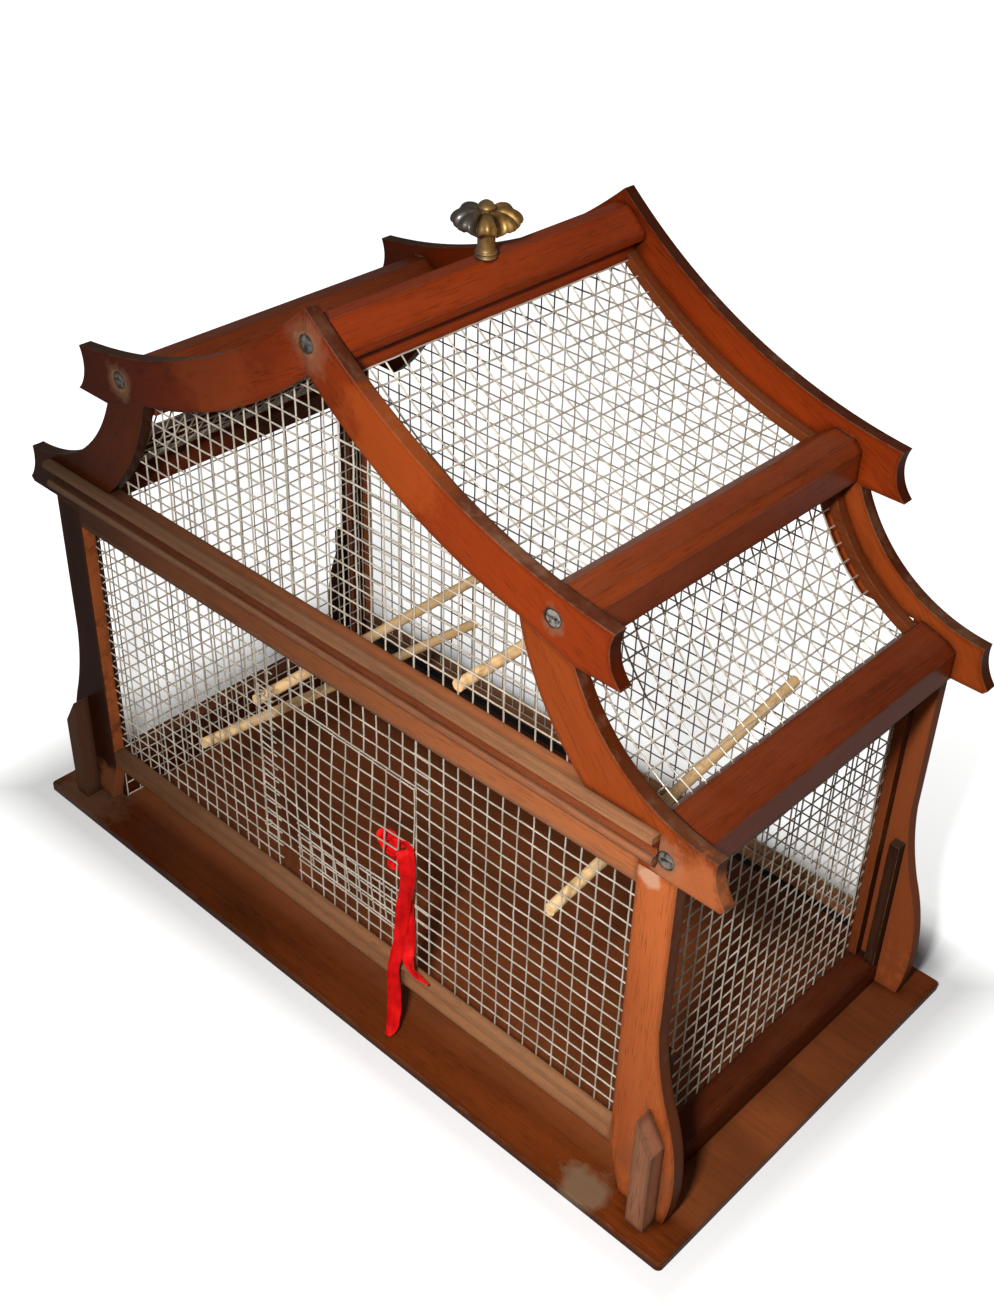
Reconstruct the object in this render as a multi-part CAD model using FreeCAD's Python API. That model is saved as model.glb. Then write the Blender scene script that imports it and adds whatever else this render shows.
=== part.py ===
import FreeCAD, Part
import math
import os

os.makedirs("parts", exist_ok=True)
Vector = FreeCAD.Vector

# A house-shaped bird cage on a thin base board. Lengths are millimetres. The origin is at the middle
# of the base board's underside, with the front towards -Y and the ridge running along Y.

# Fits
snug_gap = 0.1
loose_gap = 0.3
overrun = 20.0

# Base board
base_end_overhang = 18.5
base_side_overhang = 25.0
base_thickness = 6.5
base_corner_radius = 4.0
base_worn_edge = 1.0

# Gables: fretted boards, one at each end
gable_span = 292.0
board_thickness = 9.7
panel_width = 537.6
post_width = 28.6
bottom_rail_z = 49.6
bottom_rail_height = 14.2
mid_rail_z = 282.2
mid_rail_height = 46.2

# Post feet
foot_inner_flare = 11.8
foot_outer_flare = 20.1
foot_bulge = 8.3
knee_reach = 12.1
knee_z = 113.0
ankle_z = 176.0
ankle_hollow = 2.2

# Lower rafters
heel_depth = 31.0
lower_roof_rise = 90.8
waist_inset = 97.4
inner_foot_inset = 42.0
lower_inner_sag = 8.0
lower_back_sag = 19.4
lower_tip_reach = 24.3
lower_tip_lift = 1.7
lower_tip_overhang = 8.4
lower_tip_hollow = 3.6
lower_tip_nose = 3.3

# Upper rafters
waist_width = 42.0
waist_drop = 13.5
upper_roof_rise = 84.8
crown_depth = 42.0
upper_inner_sag = 12.0
upper_back_sag = 20.5
upper_tip_reach = 26.0
upper_tip_height = 34.5
upper_tip_overhang = 6.7
upper_tip_hollow = 5.8

# Ridge beam
ridge_set_down = 10.0
ridge_top_width = 10.0
ridge_width = 42.0
ridge_fall = 14.3
ridge_cheek = 5.6
ridge_core_width = 27.0
ridge_core_depth = 15.0

# Eave rails: the outline of each is given in shares of its width and height
upper_rail_width = 38.6
upper_rail_height = 31.1
upper_rail_sink = 11.0
upper_rail_shares = [(0, 0), (1, 0), (1, 0.70), (0.83, 0.92), (0.44, 1), (0.22, 0.81), (0, 0.60)]
lower_rail_width = 41.1
lower_rail_height = 32.7
lower_rail_inset = 6.7
lower_rail_shares = [(0, 0), (1, 0), (1, 0.65), (0.82, 0.81), (0.63, 0.89), (0.33, 1), (0, 0.49)]

# Side bottom rails
side_rail_width = 23.1
side_rail_height = 22.1
side_rail_inset = 7.1
side_rail_round = 4.5

# Beads inside the gables, which the wire is nailed to
bead_width = 7.2
bead_depth = 8.4
upper_bead_rise = 10.8
lower_bead_waist_inset = 25.2
lower_bead_foot_inset = 3.4
lower_bead_sag = 10.5
bead_run_on = 18.0

# Guide laths on the posts' inner faces
lath_width = 8.4
lath_height = 119.2

# Moulding across the front
moulding_height = 22.6
moulding_depth = 7.6
moulding_overhang = 1.6
moulding_bead = 6.4
moulding_bead_lip = 3.0
moulding_fillet = 5.0
moulding_waist = 2.2
moulding_cove_sag = 2.6
moulding_screw_gap = 5.1

# Brackets in front of the front feet
bracket_width = 14.6
bracket_depth = 13.9
bracket_inner_height = 100.5
bracket_outer_height = 75.8

# Screws through the gables into the long rails
screw_head_radius = 5.4
screw_head_height = 2.0
screw_shank_radius = 2.2
screw_length = 30.0
screw_recess = 2.6
screw_slot_width = 1.2
screw_slot_depth = 0.9
apex_screw_drop = 22.5
waist_screw_inset = 24.5
waist_screw_rise = 10.0
heel_screw_inset = 10.1
heel_screw_rise = 13.4

# Wire netting: each modelled bar stands for a few of the real wires, which lie 12.7 apart
net_wire = 1.2
net_pitch = 42.0
net_margin = 2.5
smallest_gap_share = 0.04

# Door flap of wire netting, hung on rings at its left edge over a hole in the front netting
door_left = -80.6
door_width = 156.2
door_height = 139.6
door_top_drop = 50.2
door_stand_off = 0.6
door_side_lap = 33.6
door_foot_lap = 28.6
door_latch_gap = 14.4
door_pitch = 28.0
ring_wire = 1.0
ring_bore = 2.0
ring_drop = 8.0
ring_section_shares = [(0.25, -0.5), (0.75, -0.5), (1, 0), (0.75, 0.5), (0.25, 0.5), (0, 0)]

# Ribbon that ties the door's free edge
ribbon_width = 11.0
ribbon_thickness = 2.0
ribbon_loop_height = 13.0
ribbon_slack = 0.4
ribbon_rise = 9.0
ribbon_shift = 3.5
bow_width = 27.0
bow_height = 22.0
bow_drop = 3.0
bow_band = 6.0
bow_overlap = 1.0
ribbon_clear = 1.4
ribbon_lead = 28.0
ribbon_bend = 12.0
ribbon_lie = 17.0
ribbon_sole = 0.6
ribbon_knot_size = 15.0
ribbon_knot_depth = 7.0
short_tail_width = 9.0
short_tail_length = 78.0

# Perches: dowels from the front netting to the rear, each with its front and rear place (x, z)
perch_radius = 4.25
perch_a_front = (-157.6, 131.5)
perch_a_rear = (-129.0, 126.3)
perch_b_front = (-86.9, 212.2)
perch_b_rear = (-86.9, 212.2)
perch_c_front = (196.9, 201.6)
perch_c_rear = (189.7, 235.4)
perch_d_x = 114.0
perch_d_lift = 0.9

# Brass knob on the ridge
knob_petals = 8
petal_facets = 6
knob_petal_radius = 21.5
knob_valley_share = 0.84
knob_head_shares = [(0, 0.93), (0.2, 1), (0.45, 0.97), (0.72, 0.84), (0.92, 0.62), (1, 0.4)]
knob_stem_radius = 6.0
knob_foot_radius = 7.7
knob_foot_height = 3.0
knob_stem_height = 21.0
knob_head_height = 10.2
knob_button_radius = 5.2
knob_button_height = 4.6
knob_shank_radius = 2.0
knob_shank_length = 22.0

# Places that follow from the sizes
gable_face = gable_span / 2
gable_inner = gable_face - board_thickness
net_inner = gable_inner - net_wire
roof_half = net_inner - loose_gap
base_top = base_thickness
base_length = panel_width + 2 * (post_width + foot_outer_flare + base_end_overhang)
base_depth = gable_span + 2 * base_side_overhang
post_inner = panel_width / 2
post_outer = post_inner + post_width
bottom_rail_top = bottom_rail_z + bottom_rail_height
mid_rail_top = mid_rail_z + mid_rail_height
heel_z = mid_rail_top - heel_depth
waist_x = post_inner - waist_inset
waist_z = mid_rail_top + lower_roof_rise
notch_x = waist_x + waist_width
notch_z = waist_z - waist_drop
crown_z = waist_z + upper_roof_rise
apex_z = crown_z + crown_depth
ridge_top = apex_z - ridge_set_down
ridge_shoulder = ridge_top - ridge_fall
ridge_cheek_z = ridge_shoulder - ridge_cheek
ridge_core_z = ridge_cheek_z - ridge_core_depth
upper_rail_z = waist_z - upper_rail_sink
lower_rail_x = post_inner - lower_rail_inset
side_rail_x = post_inner + side_rail_inset
side_rail_top = base_top + side_rail_height
side_net_x = side_rail_x - snug_gap - net_wire
screw_places = [
    (0, apex_z - apex_screw_drop),
    (waist_x + waist_screw_inset, waist_z + waist_screw_rise),
    (-waist_x - waist_screw_inset, waist_z + waist_screw_rise),
    (post_outer - heel_screw_inset, heel_z + heel_screw_rise),
    (heel_screw_inset - post_outer, heel_z + heel_screw_rise),
]
door_top = mid_rail_z - door_top_drop
door_bottom = door_top - door_height
door_right = door_left + door_width
hole_left = door_left + door_side_lap
hole_right = door_right + door_latch_gap
hole_bottom = door_bottom + door_foot_lap
flap_back = -gable_inner - door_stand_off
flap_front = flap_back - net_wire
perch_d_z = mid_rail_top + perch_d_lift + perch_radius


def at(x, z):
    return Vector(x, 0, z)


def line(start, end):
    return Part.LineSegment(start, end).toShape()


def arc(start, end, sag):
    """An arc from start to end that swells by sag to the left of the way, seen from the front."""
    way = end - start
    across = Vector(-way.z, 0, way.x)
    across.normalize()
    return Part.Arc(start, (start + end) / 2 + across * sag, end).toShape()


def face(*edges):
    return Part.Face(Part.Wire(list(edges)))


def polygon(points):
    return Part.Face(Part.makePolygon([*points, points[0]]))


def rectangle(left, right, low, high):
    return polygon([at(left, low), at(right, low), at(right, high), at(left, high)])


def slab(outline, start, end):
    """The outline, drawn in the plane y = 0, made solid from y = start to y = end."""
    solid = outline.extrude(Vector(0, end - start, 0))
    solid.translate(Vector(0, start, 0))
    return solid


def turned(solid):
    """The solid turned a quarter about Z, so that what ran along X runs along Y."""
    copy = solid.copy()
    copy.rotate(Vector(), Vector(0, 0, 1), 90)
    return copy


def mirror_x(solid):
    return solid.mirror(Vector(), Vector(1, 0, 0))


def mirror_y(solid):
    return solid.mirror(Vector(), Vector(0, 1, 0))


def group(*solids):
    return Part.makeCompound([piece for solid in solids for piece in solid.Solids])


# Gable timbers, drawn for the right half and the front

def post_outline():
    inner_top = at(post_inner, heel_z)
    inner_ankle = at(post_inner, bottom_rail_z)
    inner_toe = at(post_inner + foot_inner_flare, base_top)
    outer_toe = at(post_outer + foot_outer_flare, base_top)
    knee = at(post_outer + knee_reach, knee_z)
    ankle = at(post_outer, ankle_z)
    outer_top = at(post_outer, heel_z)
    return face(
        line(inner_top, inner_ankle),
        line(inner_ankle, inner_toe),
        line(inner_toe, outer_toe),
        arc(outer_toe, knee, -foot_bulge),
        arc(knee, ankle, ankle_hollow),
        line(ankle, outer_top),
        line(outer_top, inner_top),
    )


def lower_rafter_outline():
    waist = at(waist_x, waist_z)
    notch = at(notch_x, notch_z)
    tip = at(post_outer + lower_tip_reach, mid_rail_top + lower_tip_lift)
    nose = at(tip.x + lower_tip_overhang, heel_z + lower_tip_nose)
    sole = at(nose.x - lower_tip_nose, heel_z)
    heel = at(post_inner, heel_z)
    shoulder = at(post_inner, mid_rail_top)
    inner_foot = at(post_inner - inner_foot_inset, mid_rail_top)
    return face(
        line(waist, notch),
        arc(notch, tip, -lower_back_sag),
        arc(tip, nose, -lower_tip_hollow),
        line(nose, sole),
        line(sole, heel),
        line(heel, shoulder),
        line(shoulder, inner_foot),
        arc(inner_foot, waist, lower_inner_sag),
    )


def upper_rafter_outline():
    crown = at(0, crown_z)
    apex = at(0, apex_z)
    tip = at(notch_x + upper_tip_reach, notch_z + upper_tip_height)
    tip_end = at(tip.x + upper_tip_overhang, notch_z)
    notch = at(notch_x, notch_z)
    waist = at(waist_x, waist_z)
    return face(
        line(crown, apex),
        arc(apex, tip, -upper_back_sag),
        arc(tip, tip_end, -upper_tip_hollow),
        line(tip_end, notch),
        line(notch, waist),
        arc(waist, crown, upper_inner_sag),
    )


def screw_bores():
    """The recess and shank hole of each screw in both gables."""
    bores = []
    for x, z in screw_places:
        recess = Part.makeCylinder(
            screw_head_radius + loose_gap, screw_recess + overrun, Vector(x, -gable_face - overrun, z), Vector(0, 1, 0)
        )
        shank = Part.makeCylinder(
            screw_shank_radius + snug_gap, screw_length + loose_gap,
            Vector(x, -gable_face + screw_recess, z), Vector(0, 1, 0),
        )
        bore = recess.fuse(shank)
        bores += [bore, mirror_y(bore)]
    return Part.makeCompound(bores)


def screw(x, z):
    """A round-headed screw with a slot, lying along Y with its head's back on the recess floor."""
    seat = Vector(x, -gable_face + screw_recess, z)
    head = Part.makeCylinder(screw_head_radius, screw_head_height, seat, Vector(0, -1, 0))
    shank = Part.makeCylinder(screw_shank_radius, screw_length, seat, Vector(0, 1, 0))
    slot = Part.makeBox(
        screw_head_radius * 2, screw_slot_depth, screw_slot_width,
        Vector(x - screw_head_radius, seat.y - screw_head_height, z - screw_slot_width / 2),
    )
    return head.fuse(shank).cut(slot)


# Long timbers

def base_board():
    board = Part.makeBox(base_length, base_depth, base_thickness, Vector(-base_length / 2, -base_depth / 2, 0))
    corners = [edge for edge in board.Edges if abs(edge.tangentAt(edge.FirstParameter).z) > 0.5]
    board = board.makeFillet(base_corner_radius, corners)
    top = max(board.Faces, key=lambda side: side.CenterOfMass.z)
    return board.makeChamfer(min(base_worn_edge, base_thickness / 3), top.Edges)


def ridge_outline():
    half_top = ridge_top_width / 2
    half = ridge_width / 2
    half_core = ridge_core_width / 2
    right = [
        at(half_top, ridge_top),
        at(half, ridge_shoulder),
        at(half, ridge_cheek_z),
        at(half_core, ridge_cheek_z),
        at(half_core, ridge_core_z),
    ]
    return polygon(right + [at(-corner.x, corner.z) for corner in reversed(right)])


def share_outline(shares, x, z, width, height):
    return polygon([at(x + width * across, z + height * up) for across, up in shares])


def side_bottom_rail():
    rail = slab(
        rectangle(side_rail_x, side_rail_x + side_rail_width, base_top, side_rail_top), -gable_inner, gable_inner
    )
    arrises = [
        edge for edge in rail.Edges
        if edge.CenterOfMass.z > side_rail_top - snug_gap and abs(edge.tangentAt(edge.FirstParameter).y) > 0.5
    ]
    return rail.makeFillet(side_rail_round, arrises)


def moulding():
    """A strip with a bead at its foot, a cove above it and a square fillet at its top."""
    low = mid_rail_top - moulding_height
    front = -gable_face
    bead_front = front - moulding_bead_lip
    bead_top = low + moulding_bead
    cove_top = mid_rail_top - moulding_fillet
    corners = [
        Vector(0, front, low),
        Vector(0, bead_front, low),
        Vector(0, bead_front - moulding_bead / 2, low + moulding_bead / 2),
        Vector(0, bead_front, bead_top),
        Vector(0, front - moulding_waist, bead_top),
        Vector(0, front - moulding_depth, cove_top),
        Vector(0, front - moulding_depth, mid_rail_top),
        Vector(0, front, mid_rail_top),
    ]
    cove_middle = (corners[4] + corners[5]) / 2
    cove_way = corners[5] - corners[4]
    cove_hollow = Vector(0, cove_way.z, -cove_way.y)
    cove_hollow.normalize()
    outline = face(
        line(corners[0], corners[1]),
        Part.Arc(corners[1], corners[2], corners[3]).toShape(),
        line(corners[3], corners[4]),
        Part.Arc(corners[4], cove_middle + cove_hollow * moulding_cove_sag, corners[5]).toShape(),
        line(corners[5], corners[6]),
        line(corners[6], corners[7]),
        line(corners[7], corners[0]),
    )
    left = -post_outer - moulding_overhang
    right = post_outer - heel_screw_inset - moulding_screw_gap
    strip = outline.extrude(Vector(right - left, 0, 0))
    strip.translate(Vector(left, 0, 0))
    screw_x, screw_z = screw_places[3]
    recess = Part.makeCylinder(
        screw_head_radius + loose_gap, screw_recess + overrun,
        Vector(screw_x, -gable_face - overrun, screw_z), Vector(0, 1, 0),
    )
    return strip.cut(recess)


def bracket():
    outline = polygon([
        at(post_outer, base_top),
        at(post_outer + bracket_width, base_top),
        at(post_outer + bracket_width, base_top + bracket_outer_height),
        at(post_outer, base_top + bracket_inner_height),
    ])
    return slab(outline, -gable_face - bracket_depth, -gable_face)


def guide_lath():
    outer = side_rail_x + side_rail_width
    outline = rectangle(outer - lath_width, outer, side_rail_top, side_rail_top + lath_height)
    return slab(outline, -gable_inner, -gable_inner + bead_depth)


# Curved beads and roof nets: rings about the centre of a roof line

def centre_and_radius(start, end, sag):
    """The circle of an arc that swells by sag down and inwards from the line start to end."""
    way = end - start
    chord = way.Length
    radius = (chord * chord / 4 + sag * sag) / (2 * sag)
    outward = Vector(-way.z, 0, way.x)
    outward.normalize()
    return (start + end) / 2 + outward * (radius - sag), radius


def ring_face(centre, near, far, first, last):
    """The part of a ring from radius near to far between two angles in the plane y = 0."""
    def on(radius, angle):
        return centre + Vector(math.cos(angle), 0, math.sin(angle)) * radius
    middle = (first + last) / 2
    return face(
        Part.Arc(on(near, first), on(near, middle), on(near, last)).toShape(),
        line(on(near, last), on(far, last)),
        Part.Arc(on(far, last), on(far, middle), on(far, first)).toShape(),
        line(on(far, first), on(near, first)),
    )


def angle_at(centre, place):
    return math.atan2(place.z - centre.z, place.x - centre.x)


def bar_lines(low, high, stops=(), pitch=net_pitch):
    """Bar centres from low to high that meet every stop and are evenly spread between them."""
    marks = sorted([low, *stops, high])
    lines = []
    for start, end in zip(marks, marks[1:]):
        count = max(1, round((end - start) / pitch))
        lines += [start + (end - start) * step / count for step in range(count)]
    return lines + [high]


def flat_net(outline, across, up):
    """A wire net with its back in the plane y = 0: one holed face, as thick as the wire."""
    half_wire = net_wire / 2
    field = outline.makeOffset2D(-net_wire)
    gaps = []
    for left, right in zip(across, across[1:]):
        for low, high in zip(up, up[1:]):
            gap = rectangle(left + half_wire, right - half_wire, low + half_wire, high - half_wire)
            least = gap.Area * smallest_gap_share
            gaps += [piece for piece in gap.common(field).Faces if piece.Area > least]
    holed = outline.cut(Part.makeCompound(gaps))
    return slab(holed, 0, net_wire)


def roof_net(centre, near, first, last, rails):
    """A curved net between two angles of a roof line, from gable to gable, trimmed to the rails."""
    far = near + net_wire
    run_on = bead_run_on / near
    sheet = slab(ring_face(centre, near, far, first - run_on, last + run_on), -roof_half, roof_half)
    for rail in rails:
        sheet = sheet.cut(rail)
    sheet = max(sheet.Solids, key=lambda solid: solid.Volume)
    bar_angle = net_wire / near
    rows = bar_lines(first + bar_angle, last - bar_angle, pitch=net_pitch / near)
    columns = bar_lines(-roof_half + net_wire / 2, roof_half - net_wire / 2)
    cutters = []
    for low, high in zip(rows, rows[1:]):
        cell = ring_face(centre, near - net_wire, far + net_wire, low + bar_angle / 2, high - bar_angle / 2)
        for start, end in zip(columns, columns[1:]):
            cutters.append(slab(cell, start + net_wire / 2, end - net_wire / 2))
    return sheet.cut(Part.makeCompound(cutters))


def curved_bead(centre, outer, first, last, rails):
    """A bead on the front gable's inner face, trimmed to the rails that it runs between."""
    run_on = bead_run_on / outer
    bead = slab(
        ring_face(centre, outer, outer + bead_width, first - run_on, last + run_on),
        -gable_inner, -gable_inner + bead_depth,
    )
    for rail in rails:
        bead = bead.cut(rail)
    return max(bead.Solids, key=lambda solid: solid.Volume)


# Door and what hangs it

def bar_heights():
    return bar_lines(door_bottom + net_wire / 2, door_top - net_wire / 2, pitch=door_pitch)


def door_flap():
    outline = rectangle(door_left - net_wire / 2, door_right, door_bottom, door_top)
    across = bar_lines(door_left, door_right - net_wire / 2, pitch=door_pitch)
    net = flat_net(outline, across, bar_heights())
    net.translate(Vector(0, flap_front, 0))
    return net


def door_rings():
    """Wire rings that tie the flap's left bar to the netting behind it."""
    middle_y = (-net_inner + flap_front) / 2
    rings = []
    for z in (door_bottom + ring_drop, door_top - ring_drop):
        section = polygon([
            at(ring_bore + ring_wire * across, ring_wire * up) for across, up in ring_section_shares
        ])
        ring = section.revolve(Vector(), Vector(0, 0, 1), 360)
        ring.translate(Vector(door_left, middle_y, z))
        rings.append(ring)
    return Part.makeCompound(rings)


def strip_along(points, bends, width, thickness):
    """A flat strip whose side view follows the points (y, z), with a round bend at each inner point."""
    path = [Vector(0, y, z) for y, z in points]
    edges = []
    start = path[0]
    for before, corner, after, bend in zip(path, path[1:], path[2:], bends):
        back = (before - corner).normalize()
        on = (after - corner).normalize()
        reach = bend / math.tan(back.getAngle(on) / 2)
        to_centre = (back + on).normalize() * (bend / math.sin(back.getAngle(on) / 2))
        middle = corner + to_centre - (back + on).normalize() * bend
        edges.append(line(start, corner + back * reach))
        edges.append(Part.Arc(corner + back * reach, middle, corner + on * reach).toShape())
        start = corner + on * reach
    edges.append(line(start, path[-1]))
    spine = Part.Wire(edges)
    half = thickness / 2
    first = (path[1] - path[0]).normalize()
    side = Vector(0, -first.z, first.y) * half
    section = Part.makePolygon([
        path[0] - side, path[0] + side, path[0] + side + Vector(width, 0, 0),
        path[0] - side + Vector(width, 0, 0), path[0] - side,
    ])
    return spine.makePipeShell([section], True, False)


def ribbon():
    """A loop and a bow round the door's free edge, a long tail over the bottom rail and a short tail beside it."""
    bar_under = bar_heights()[3] - net_wire / 2
    edge_x = door_right - net_wire / 2
    edge_y = (flap_front + flap_back) / 2
    inner = net_wire / 2 + ribbon_slack
    outer = inner + ribbon_thickness
    low = bar_under - ribbon_slack - ribbon_loop_height
    loop = Part.makeBox(2 * outer, 2 * outer, ribbon_loop_height, Vector(edge_x - outer, edge_y - outer, low))
    hollow = Part.makeBox(
        2 * inner, 2 * inner, ribbon_loop_height + overrun, Vector(edge_x - inner, edge_y - inner, low - overrun / 2)
    )
    loop = loop.cut(hollow)
    back = edge_y - inner
    left = edge_x - outer - ribbon_shift
    knot = Part.makeBox(
        ribbon_knot_size, ribbon_knot_depth, ribbon_loop_height, Vector(left, back - ribbon_knot_depth, low)
    )
    knot = knot.makeFillet(ribbon_thickness, [edge for edge in knot.Edges if edge.CenterOfMass.y < back])
    bow_right = edge_x - inner - bow_overlap
    bow_top = low + ribbon_loop_height - bow_drop
    bow_left = bow_right - bow_width
    bow_low = bow_top - bow_height
    bow = rectangle(bow_left, bow_right, bow_low, bow_top).cut(
        rectangle(bow_left + bow_band, bow_right - bow_band, bow_low + bow_band, bow_top - bow_band)
    )
    bow_y = edge_y + inner
    bow = slab(bow, bow_y, bow_y + ribbon_thickness)
    tail_y = back - ribbon_thickness / 2
    rail_y = -gable_face - ribbon_clear - ribbon_thickness / 2
    floor_z = base_top + ribbon_sole + ribbon_thickness / 2
    long_tail = strip_along(
        [
            (tail_y, low + ribbon_rise),
            (tail_y, bottom_rail_top + ribbon_lead),
            (rail_y, bottom_rail_top),
            (rail_y, floor_z),
            (rail_y - ribbon_lie, floor_z),
        ],
        [ribbon_bend, ribbon_bend, ribbon_bend / 2],
        ribbon_width, ribbon_thickness,
    )
    long_tail.translate(Vector(left, 0, 0))
    short_tail = Part.makeBox(
        short_tail_width, ribbon_thickness, short_tail_length,
        Vector(left + ribbon_width, tail_y - ribbon_thickness / 2, low + ribbon_rise - short_tail_length),
    )
    return loop.fuse([knot, bow, long_tail, short_tail]).removeSplitter()


# Perches and knob

def perch(front_place, rear_place, half_length):
    """A dowel from one net to the other, sawn off parallel to them."""
    front = Vector(front_place[0], -half_length, front_place[1])
    rear = Vector(rear_place[0], half_length, rear_place[1])
    way = (rear - front).normalize()
    start = front - way * perch_radius
    dowel = Part.makeCylinder(perch_radius, (rear - front).Length + 2 * perch_radius, start, way)
    room = Part.makeBox(base_length, 2 * half_length, apex_z, Vector(-base_length / 2, -half_length, 0))
    return dowel.common(room)


def flower(z, petal_radius):
    """The head's outline at one height: petals that swell between creased valleys."""
    corners = []
    for step in range(knob_petals * petal_facets):
        petal_share = step % petal_facets / petal_facets
        swell = knob_valley_share + (1 - knob_valley_share) * math.sin(math.pi * petal_share)
        angle = 2 * math.pi * step / (knob_petals * petal_facets)
        corners.append(Vector(math.cos(angle) * swell * petal_radius, math.sin(angle) * swell * petal_radius, z))
    return Part.makePolygon([*corners, corners[0]])


def knob():
    """A turned stem under a fluted head, lofted through petalled outlines, with a round button on top."""
    foot = ridge_top
    neck = foot + knob_foot_height
    under = foot + knob_stem_height
    crown = under + knob_head_height
    top = crown + knob_button_height
    head = Part.makeLoft(
        [
            flower(under + knob_head_height * up, knob_petal_radius * out)
            for up, out in knob_head_shares
        ],
        True, True,
    )
    stem = face(
        line(at(0, foot - knob_shank_length), at(knob_shank_radius, foot - knob_shank_length)),
        line(at(knob_shank_radius, foot - knob_shank_length), at(knob_shank_radius, foot)),
        line(at(knob_shank_radius, foot), at(knob_foot_radius, foot)),
        arc(at(knob_foot_radius, foot), at(knob_stem_radius, neck), -knob_foot_height / 4),
        line(at(knob_stem_radius, neck), at(knob_stem_radius, under)),
        line(at(knob_stem_radius, under), at(0, under)),
        line(at(0, under), at(0, foot - knob_shank_length)),
    ).revolve(Vector(), Vector(0, 0, 1), 360)
    button_round = (knob_button_radius ** 2 + knob_button_height ** 2) / (2 * knob_button_height)
    button_turn = math.atan(knob_button_height / knob_button_radius)
    button_side = at(button_round * math.sin(button_turn), top - button_round * (1 - math.cos(button_turn)))
    button = face(
        line(at(0, crown), at(knob_button_radius, crown)),
        Part.Arc(at(knob_button_radius, crown), button_side, at(0, top)).toShape(),
        line(at(0, top), at(0, crown)),
    ).revolve(Vector(), Vector(0, 0, 1), 360)
    return head.fuse([stem, button])


pieces = {}
bores = screw_bores()

# Base and gables
pieces["base_board"] = base_board()
front_timbers = {
    "post": slab(post_outline(), -gable_face, -gable_inner),
    "lower_rafter": slab(lower_rafter_outline(), -gable_face, -gable_inner).cut(bores),
    "upper_rafter": slab(upper_rafter_outline(), -gable_face, -gable_inner).cut(bores),
}
for timber_name, timber in front_timbers.items():
    pieces["front_" + timber_name + "_right"] = timber
    pieces["front_" + timber_name + "_left"] = mirror_x(timber)
    pieces["rear_" + timber_name + "_right"] = mirror_y(timber)
    pieces["rear_" + timber_name + "_left"] = mirror_y(mirror_x(timber))
bottom_rail = slab(rectangle(-post_inner, post_inner, bottom_rail_z, bottom_rail_top), -gable_face, -gable_inner)
pieces["front_bottom_rail"] = bottom_rail
pieces["rear_bottom_rail"] = mirror_y(bottom_rail)
pieces["front_mid_rail"] = slab(
    rectangle(-post_inner, post_inner, mid_rail_z, mid_rail_top), -gable_face, -gable_inner
)
pieces["front_moulding"] = moulding()
pieces["foot_bracket_right"] = bracket()
pieces["foot_bracket_left"] = mirror_x(pieces["foot_bracket_right"])

# Long rails
knob_bore = Part.makeCylinder(
    knob_shank_radius + snug_gap, knob_shank_length + overrun, Vector(0, 0, ridge_top - knob_shank_length - snug_gap)
)
ridge = slab(ridge_outline(), -gable_inner, gable_inner).cut(bores).cut(knob_bore)
upper_rail = slab(
    share_outline(upper_rail_shares, waist_x, upper_rail_z, upper_rail_width, upper_rail_height),
    -gable_inner, gable_inner,
).cut(bores)
lower_rail = slab(
    share_outline(lower_rail_shares, lower_rail_x, heel_z, lower_rail_width, lower_rail_height),
    -gable_inner, gable_inner,
).cut(bores)
side_rail = side_bottom_rail()
pieces["ridge_beam"] = ridge
for rail_name, rail in (("upper_eave_rail", upper_rail), ("lower_eave_rail", lower_rail), ("side_bottom_rail", side_rail)):
    pieces[rail_name + "_right"] = rail
    pieces[rail_name + "_left"] = mirror_x(rail)

# Beads and laths
upper_start = at(0, crown_z)
upper_end = at(waist_x, waist_z)
upper_centre, upper_radius = centre_and_radius(upper_start, upper_end, upper_inner_sag)
upper_bead_radius = upper_radius - upper_bead_rise
lower_start = at(waist_x + lower_bead_waist_inset, upper_rail_z)
lower_end = at(post_inner - lower_bead_foot_inset, mid_rail_top)
lower_centre, lower_radius = centre_and_radius(lower_start, lower_end, lower_bead_sag)
upper_angles = (angle_at(upper_centre, upper_start), angle_at(upper_centre, upper_end))
lower_angles = (angle_at(lower_centre, lower_start), angle_at(lower_centre, lower_end))
upper_bead = curved_bead(upper_centre, upper_bead_radius, *upper_angles, [ridge, upper_rail])
lower_bead = curved_bead(lower_centre, lower_radius, *lower_angles, [upper_rail, lower_rail])
post_bead = slab(
    rectangle(side_rail_x, side_rail_x + bead_width, side_rail_top, heel_z), -gable_inner, -gable_inner + bead_depth
)
rafter_beads = group(upper_bead, lower_bead, mirror_x(upper_bead), mirror_x(lower_bead))
post_beads = group(post_bead, mirror_x(post_bead))
laths = group(guide_lath(), mirror_x(guide_lath()))
for strip_name, strips in (("rafter_beads", rafter_beads), ("post_beads", post_beads), ("guide_laths", laths)):
    pieces["front_" + strip_name] = strips
    pieces["rear_" + strip_name] = mirror_y(strips)

# Netting over the gables
lower_panel = (-post_inner - net_margin, post_inner + net_margin)
lower_heights = (bottom_rail_top - net_margin, mid_rail_z + net_margin)
half_bar = net_wire / 2
hinge_stops = [door_bottom + half_bar, door_top - half_bar]
left_stops = [perch_a_front[1], perch_b_front[1], *hinge_stops]
rear_stops = [perch_a_rear[1], perch_b_rear[1], perch_c_rear[1]]


def panel_net(left, right, low, high, side_stops, height_stops):
    net = flat_net(
        rectangle(left, right, low, high),
        bar_lines(left + half_bar, right - half_bar, side_stops),
        bar_lines(low + half_bar, high - half_bar, height_stops),
    )
    net.translate(Vector(0, -gable_inner, 0))
    return net


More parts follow.
